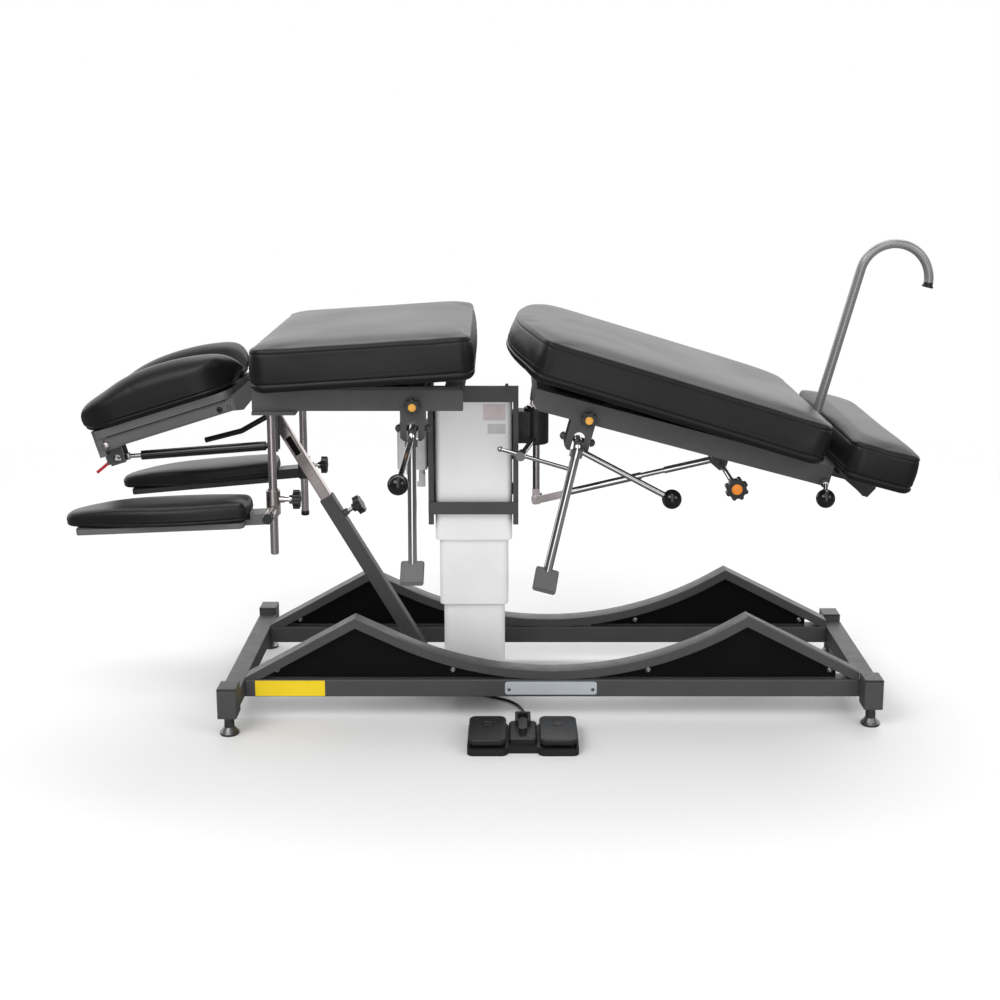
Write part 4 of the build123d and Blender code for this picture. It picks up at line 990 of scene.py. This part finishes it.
# Cord of the foot switch
def switch_cord():
    """The lead from the switch's back over the floor and up to the gland under the column."""
    route = [
        (119.0, -239.3, 20.0),
        (119.0, -218.0, 17.0),
        (116.5, -192.0, 8.0),
        (111.0, -160.0, 3.6),
        (101.0, -124.0, 3.3),
        (80.0, -94.0, 3.3),
        (48.0, -76.0, 3.3),
        (14.0, -60.0, 3.3),
        (-14.0, -47.0, 6.5),
        (-31.0, -40.0, 24.0),
        (-32.0, -40.0, 46.0),
    ]
    data = bpy.data.curves.new("switch_cord", "CURVE")
    data.dimensions = "3D"
    data.bevel_depth = 0.003
    data.bevel_resolution = 4
    data.resolution_u = 12
    spline = data.splines.new("NURBS")
    spline.points.add(len(route) - 1)
    for point, place in zip(spline.points, route):
        point.co = (*at(*place), 1.0)
    spline.order_u = 3
    spline.use_endpoint_u = True
    data.materials.append(M["rubber"])
    obj = new_object("switch_cord", data)
    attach(obj, "base")
    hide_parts("foot_switch_cord")


# Small fittings
def pan_screw(bm, place, radius):
    """A domed screw head with a recess and a washer under it."""
    washer = [(1.45, 0), (1.45, 0.16), (1.1, 0.2)]
    dome = [(1, 0.2), (1, 0.4), (0.8, 0.66), (0.42, 0.78), (0.3, 0.5), (0, 0.42)]
    lathe(bm, place, [(radius * r, radius * h) for r, h in washer + dome], 20)


def facing_front(point):
    """A place on a front face: x to the right, y up, z towards the front."""
    return Matrix.Translation(point) @ Matrix.Rotation(math.radians(90), 4, "X")


def sign(name, place, size, thick, radius, material, body):
    """A flat plate, strip or label that bears nothing; its size is (wide, tall)."""
    bm = bmesh.new()
    plate(bm, place, *size, thick, radius)
    from_bmesh(name, bm, M[material], body, smooth=False)


def box_mesh(bm, low, high, place):
    """A box between two corners given in millimetres, put through a place."""
    low, high = Vector(low), Vector(high)
    middle = (low + high) / 2
    size = high - low
    corners = bmesh.ops.create_cube(bm, size=1.0)["verts"]
    for v in corners:
        v.co = place(*(middle + Vector((v.co.x * size.x, v.co.y * size.y, v.co.z * size.z))))


def base_fittings():
    """Screws of the infill panels, a plain strip and a bare plate with two rivets on the near rail."""
    bm = bmesh.new()
    for x in (-440, -48, 387, 792):
        for y, z in ((-174.1, 110), (171.9, 104)):
            pan_screw(bm, facing(at(x, y, z), (0, -1, 0)), 0.0042)
    from_bmesh("panel_screws", bm, M["chrome"], "base")
    plate_x = 170
    sign("plain_strip", facing_front(at(-409.5, RAIL_FRONT, 73)), (0.155, 0.036), 0.0005, 0.0012,
         "strip", "base")
    sign("bare_plate", facing_front(at(plate_x, RAIL_FRONT, 73.5)), (0.204, 0.030), 0.0012, 0.006,
         "bare_plate", "base")
    bm = bmesh.new()
    for x in (plate_x - 93, plate_x + 93):
        pan_screw(bm, facing(at(x, RAIL_FRONT - 1.2, 70.5), (0, -1, 0)), 0.0026)
    from_bmesh("plate_rivets", bm, M["dull"], "base")


def rim_shade_strips():
    """Black strips on the chest frame's outer top edges: painted shade that fills the gap under the
    cushion's rim.
    """
    for name, side in (("near", -1), ("far", 1)):
        low, high = sorted((side * 234.9, side * 239.7))
        bm = bmesh.new()
        # Painted shade: black strips close the gap between the frame's top and the cushion's underside
        box_mesh(bm, (-330, low, 756), (-24, high, 762.8), at)
        bmesh.ops.bevel(bm, geom=bm.edges[:], offset=0.0012, segments=2, affect="EDGES")
        from_bmesh(name + "_rim_shade_strip", bm, M["rubber"], "carriage", smooth=False)


def column_labels():
    """Two bare labels on the column's cover."""
    sign("column_label", facing_front(at(44, COLUMN_FRONT, 676)), (0.050, 0.037), 0.0003, 0.001,
         "label", "carriage")
    sign("column_label_small", facing_front(at(49, COLUMN_FRONT, 638)), (0.040, 0.022), 0.0003, 0.001,
         "label_pale", "carriage")


def knob_caps():
    """Coloured caps on the fronts of the lobed knobs."""
    lock_x, lock_z = LOCK_KNOB
    for name, point, radius, material, body in (
        ("chest_knob_cap", at(-126, -260, 722), 0.0085, "yellow", "chest_knob"),
        ("leg_knob_cap", leg_at(102.5, -260, 31.6), 0.0085, "yellow", "leg_knob"),
        ("lock_knob_cap", leg_at(lock_x, -254, lock_z), 0.0115, "orange", "prop_lock"),
    ):
        rim = [(radius, -0.0015), (radius, 0.0004)]
        dome = [(radius * 0.93, 0.0014), (radius * 0.6, 0.0021), (0, 0.0024)]
        bm = bmesh.new()
        lathe(bm, facing(point, (0, -1, 0)), rim + dome)
        from_bmesh(name, bm, M[material], body)


def switch_marks():
    """Raised ovals on the treads and a small lamp on the switch's neck."""
    for name, side in (("up_pedal", -1), ("down_pedal", 1)):
        bm = bmesh.new()
        plate(bm, Matrix.Translation(at(SWITCH_X + side * 76, -292, 33.8)), 0.024, 0.017, 0.0012, 0.008)
        from_bmesh(name + "_mark", bm, M["gloss"], name)
    lens = [(0.003, 0), (0.003, 0.001), (0.0018, 0.0018), (0, 0.002)]
    bm = bmesh.new()
    lathe(bm, Matrix.Translation(at(SWITCH_X, -254, 21.9)), lens, 16)
    from_bmesh("switch_lamp", bm, M["label_pale"], "base")


def head_fittings():
    """Flat faces of the head frame's side bars, with their bolts, screws and slots."""
    bm = bmesh.new()
    for side in (-1, 1):
        low, high = sorted((side * 117.7, side * 119.7))
        box_mesh(bm, (-373.4, low, -33.5), (-58.6, high, -14.0), head_at)
    from_bmesh("head_bar_faces", bm, M["bar_coat"], "head_section", smooth=False)
    bolt = [(0.0086, 0), (0.0086, 0.0026), (0.0076, 0.0036), (0, 0.0039)]
    bm = bmesh.new()
    for side in (-1, 1):
        lathe(bm, facing(head_at(-357, side * 119.9, -28), (0, side, 0)), bolt, 24)
    from_bmesh("head_bar_bolts", bm, M["satin"], "head_section")
    pin = [(0.0022, 0), (0.0022, 0.0003), (0, 0.0003)]
    bm = bmesh.new()
    for side in (-1, 1):
        pan_screw(bm, facing(head_at(-90, side * 119.8, -26), (0, side, 0)), 0.0048)
        lathe(bm, facing(head_at(-357.5, side * 119.85, -17.5), (0, side, 0)), pin, 16)
        for x in (-72, -66):
            low, high = sorted((side * 119.6, side * 120.2))
            box_mesh(bm, (x - 0.9, low, -31), (x + 0.9, high, -20), head_at)
    from_bmesh("head_bar_screws", bm, M["gloss"], "head_section", smooth=False)


def strut_fittings():
    """A black block in the slanting strut's slot as painted shade for its dark inside, and a cap on the far
    armrest's post.
    """
    foot, top = at(*STRUT_FOOT), at(*STRUT_TOP)
    slant = math.atan2(STRUT_TOP[0] - STRUT_FOOT[0], STRUT_TOP[2] - STRUT_FOOT[2])
    lean = Matrix.Translation(foot) @ Matrix.Rotation(slant, 4, "Y")
    reach = (top - foot).length * 1000.0
    # Painted shade: a black block fills the tube behind the slot, where its inside lies in shade
    bm = bmesh.new()
    box_mesh(bm, (-9.6, -9.4, reach - 130), (9.6, 9.4, reach - 60), lambda *p: lean @ (Vector(p) / 1000.0))
    from_bmesh("strut_slot_painted_shade", bm, M["panel"], "strut_inner", smooth=False)
    cap = [(0, 0), (0.0088, 0), (0.0102, 0.001), (0.0102, 0.011), (0.0092, 0.0115)]
    bm = bmesh.new()
    lathe(bm, Matrix.Translation(at(POST_X, POST_Y, 357)), cap, 28)
    from_bmesh("far_post_cap", bm, M["knob"], "carriage")


# The whole table
camera()
world()
stage()
switch_cord()
dress_solids()
for name in ("base_rails", "head_base_beam", "foot_base_beam", "strut_outer_tube", "strut_inner_tube"):
    soften(name, TUBE_ROUND)
for name in ("near_arch_tube", "far_arch_tube", "column_yoke", "chest_frame", "leg_frame", "head_frame",
             "near_arm", "far_arm", "post_caps", "column_bed", "foot_slide"):
    soften(name, SHEET_ROUND)
section_cushion("chest_cushion", "chest_pad", -CHEST_COCK, "chest_section", step=0.0085,
                radii=(0.034, 0.03, 0.07, 0.034), ends=(0.006, 0.006),
                lift=-0.009, rise=0.007, droop=0.008, skew=-0.010)
section_cushion("leg_cushion", "leg_pad", LEG_SLOPE + LEG_COCK, "leg_section", step=0.009,
                radii=(0.022, 0.038, 0.038, 0.022), ends=(0.001, -0.008),
                lift=-0.005, rise=0.011, droop=0.006, bow=0.066)
section_cushion("foot_cushion", "foot_pad", LEG_SLOPE, "foot_section", step=0.008,
                radii=(0.03, 0.024, 0.05, 0.03), ends=(-0.006, 0.001),
                lift=-0.003, rise=0.009, skew=-0.008)
arm_cushion("near_arm_pad", "near_pad", NEAR_PAD_SLOPE, "near_armrest")
arm_cushion("far_arm_pad", "far_pad", FAR_PAD_SLOPE, "far_armrest")
head_cushion()
base_fittings()
rim_shade_strips()
column_labels()
knob_caps()
switch_marks()
head_fittings()
strut_fittings()
bpy.context.scene.view_settings.view_transform = "Standard"
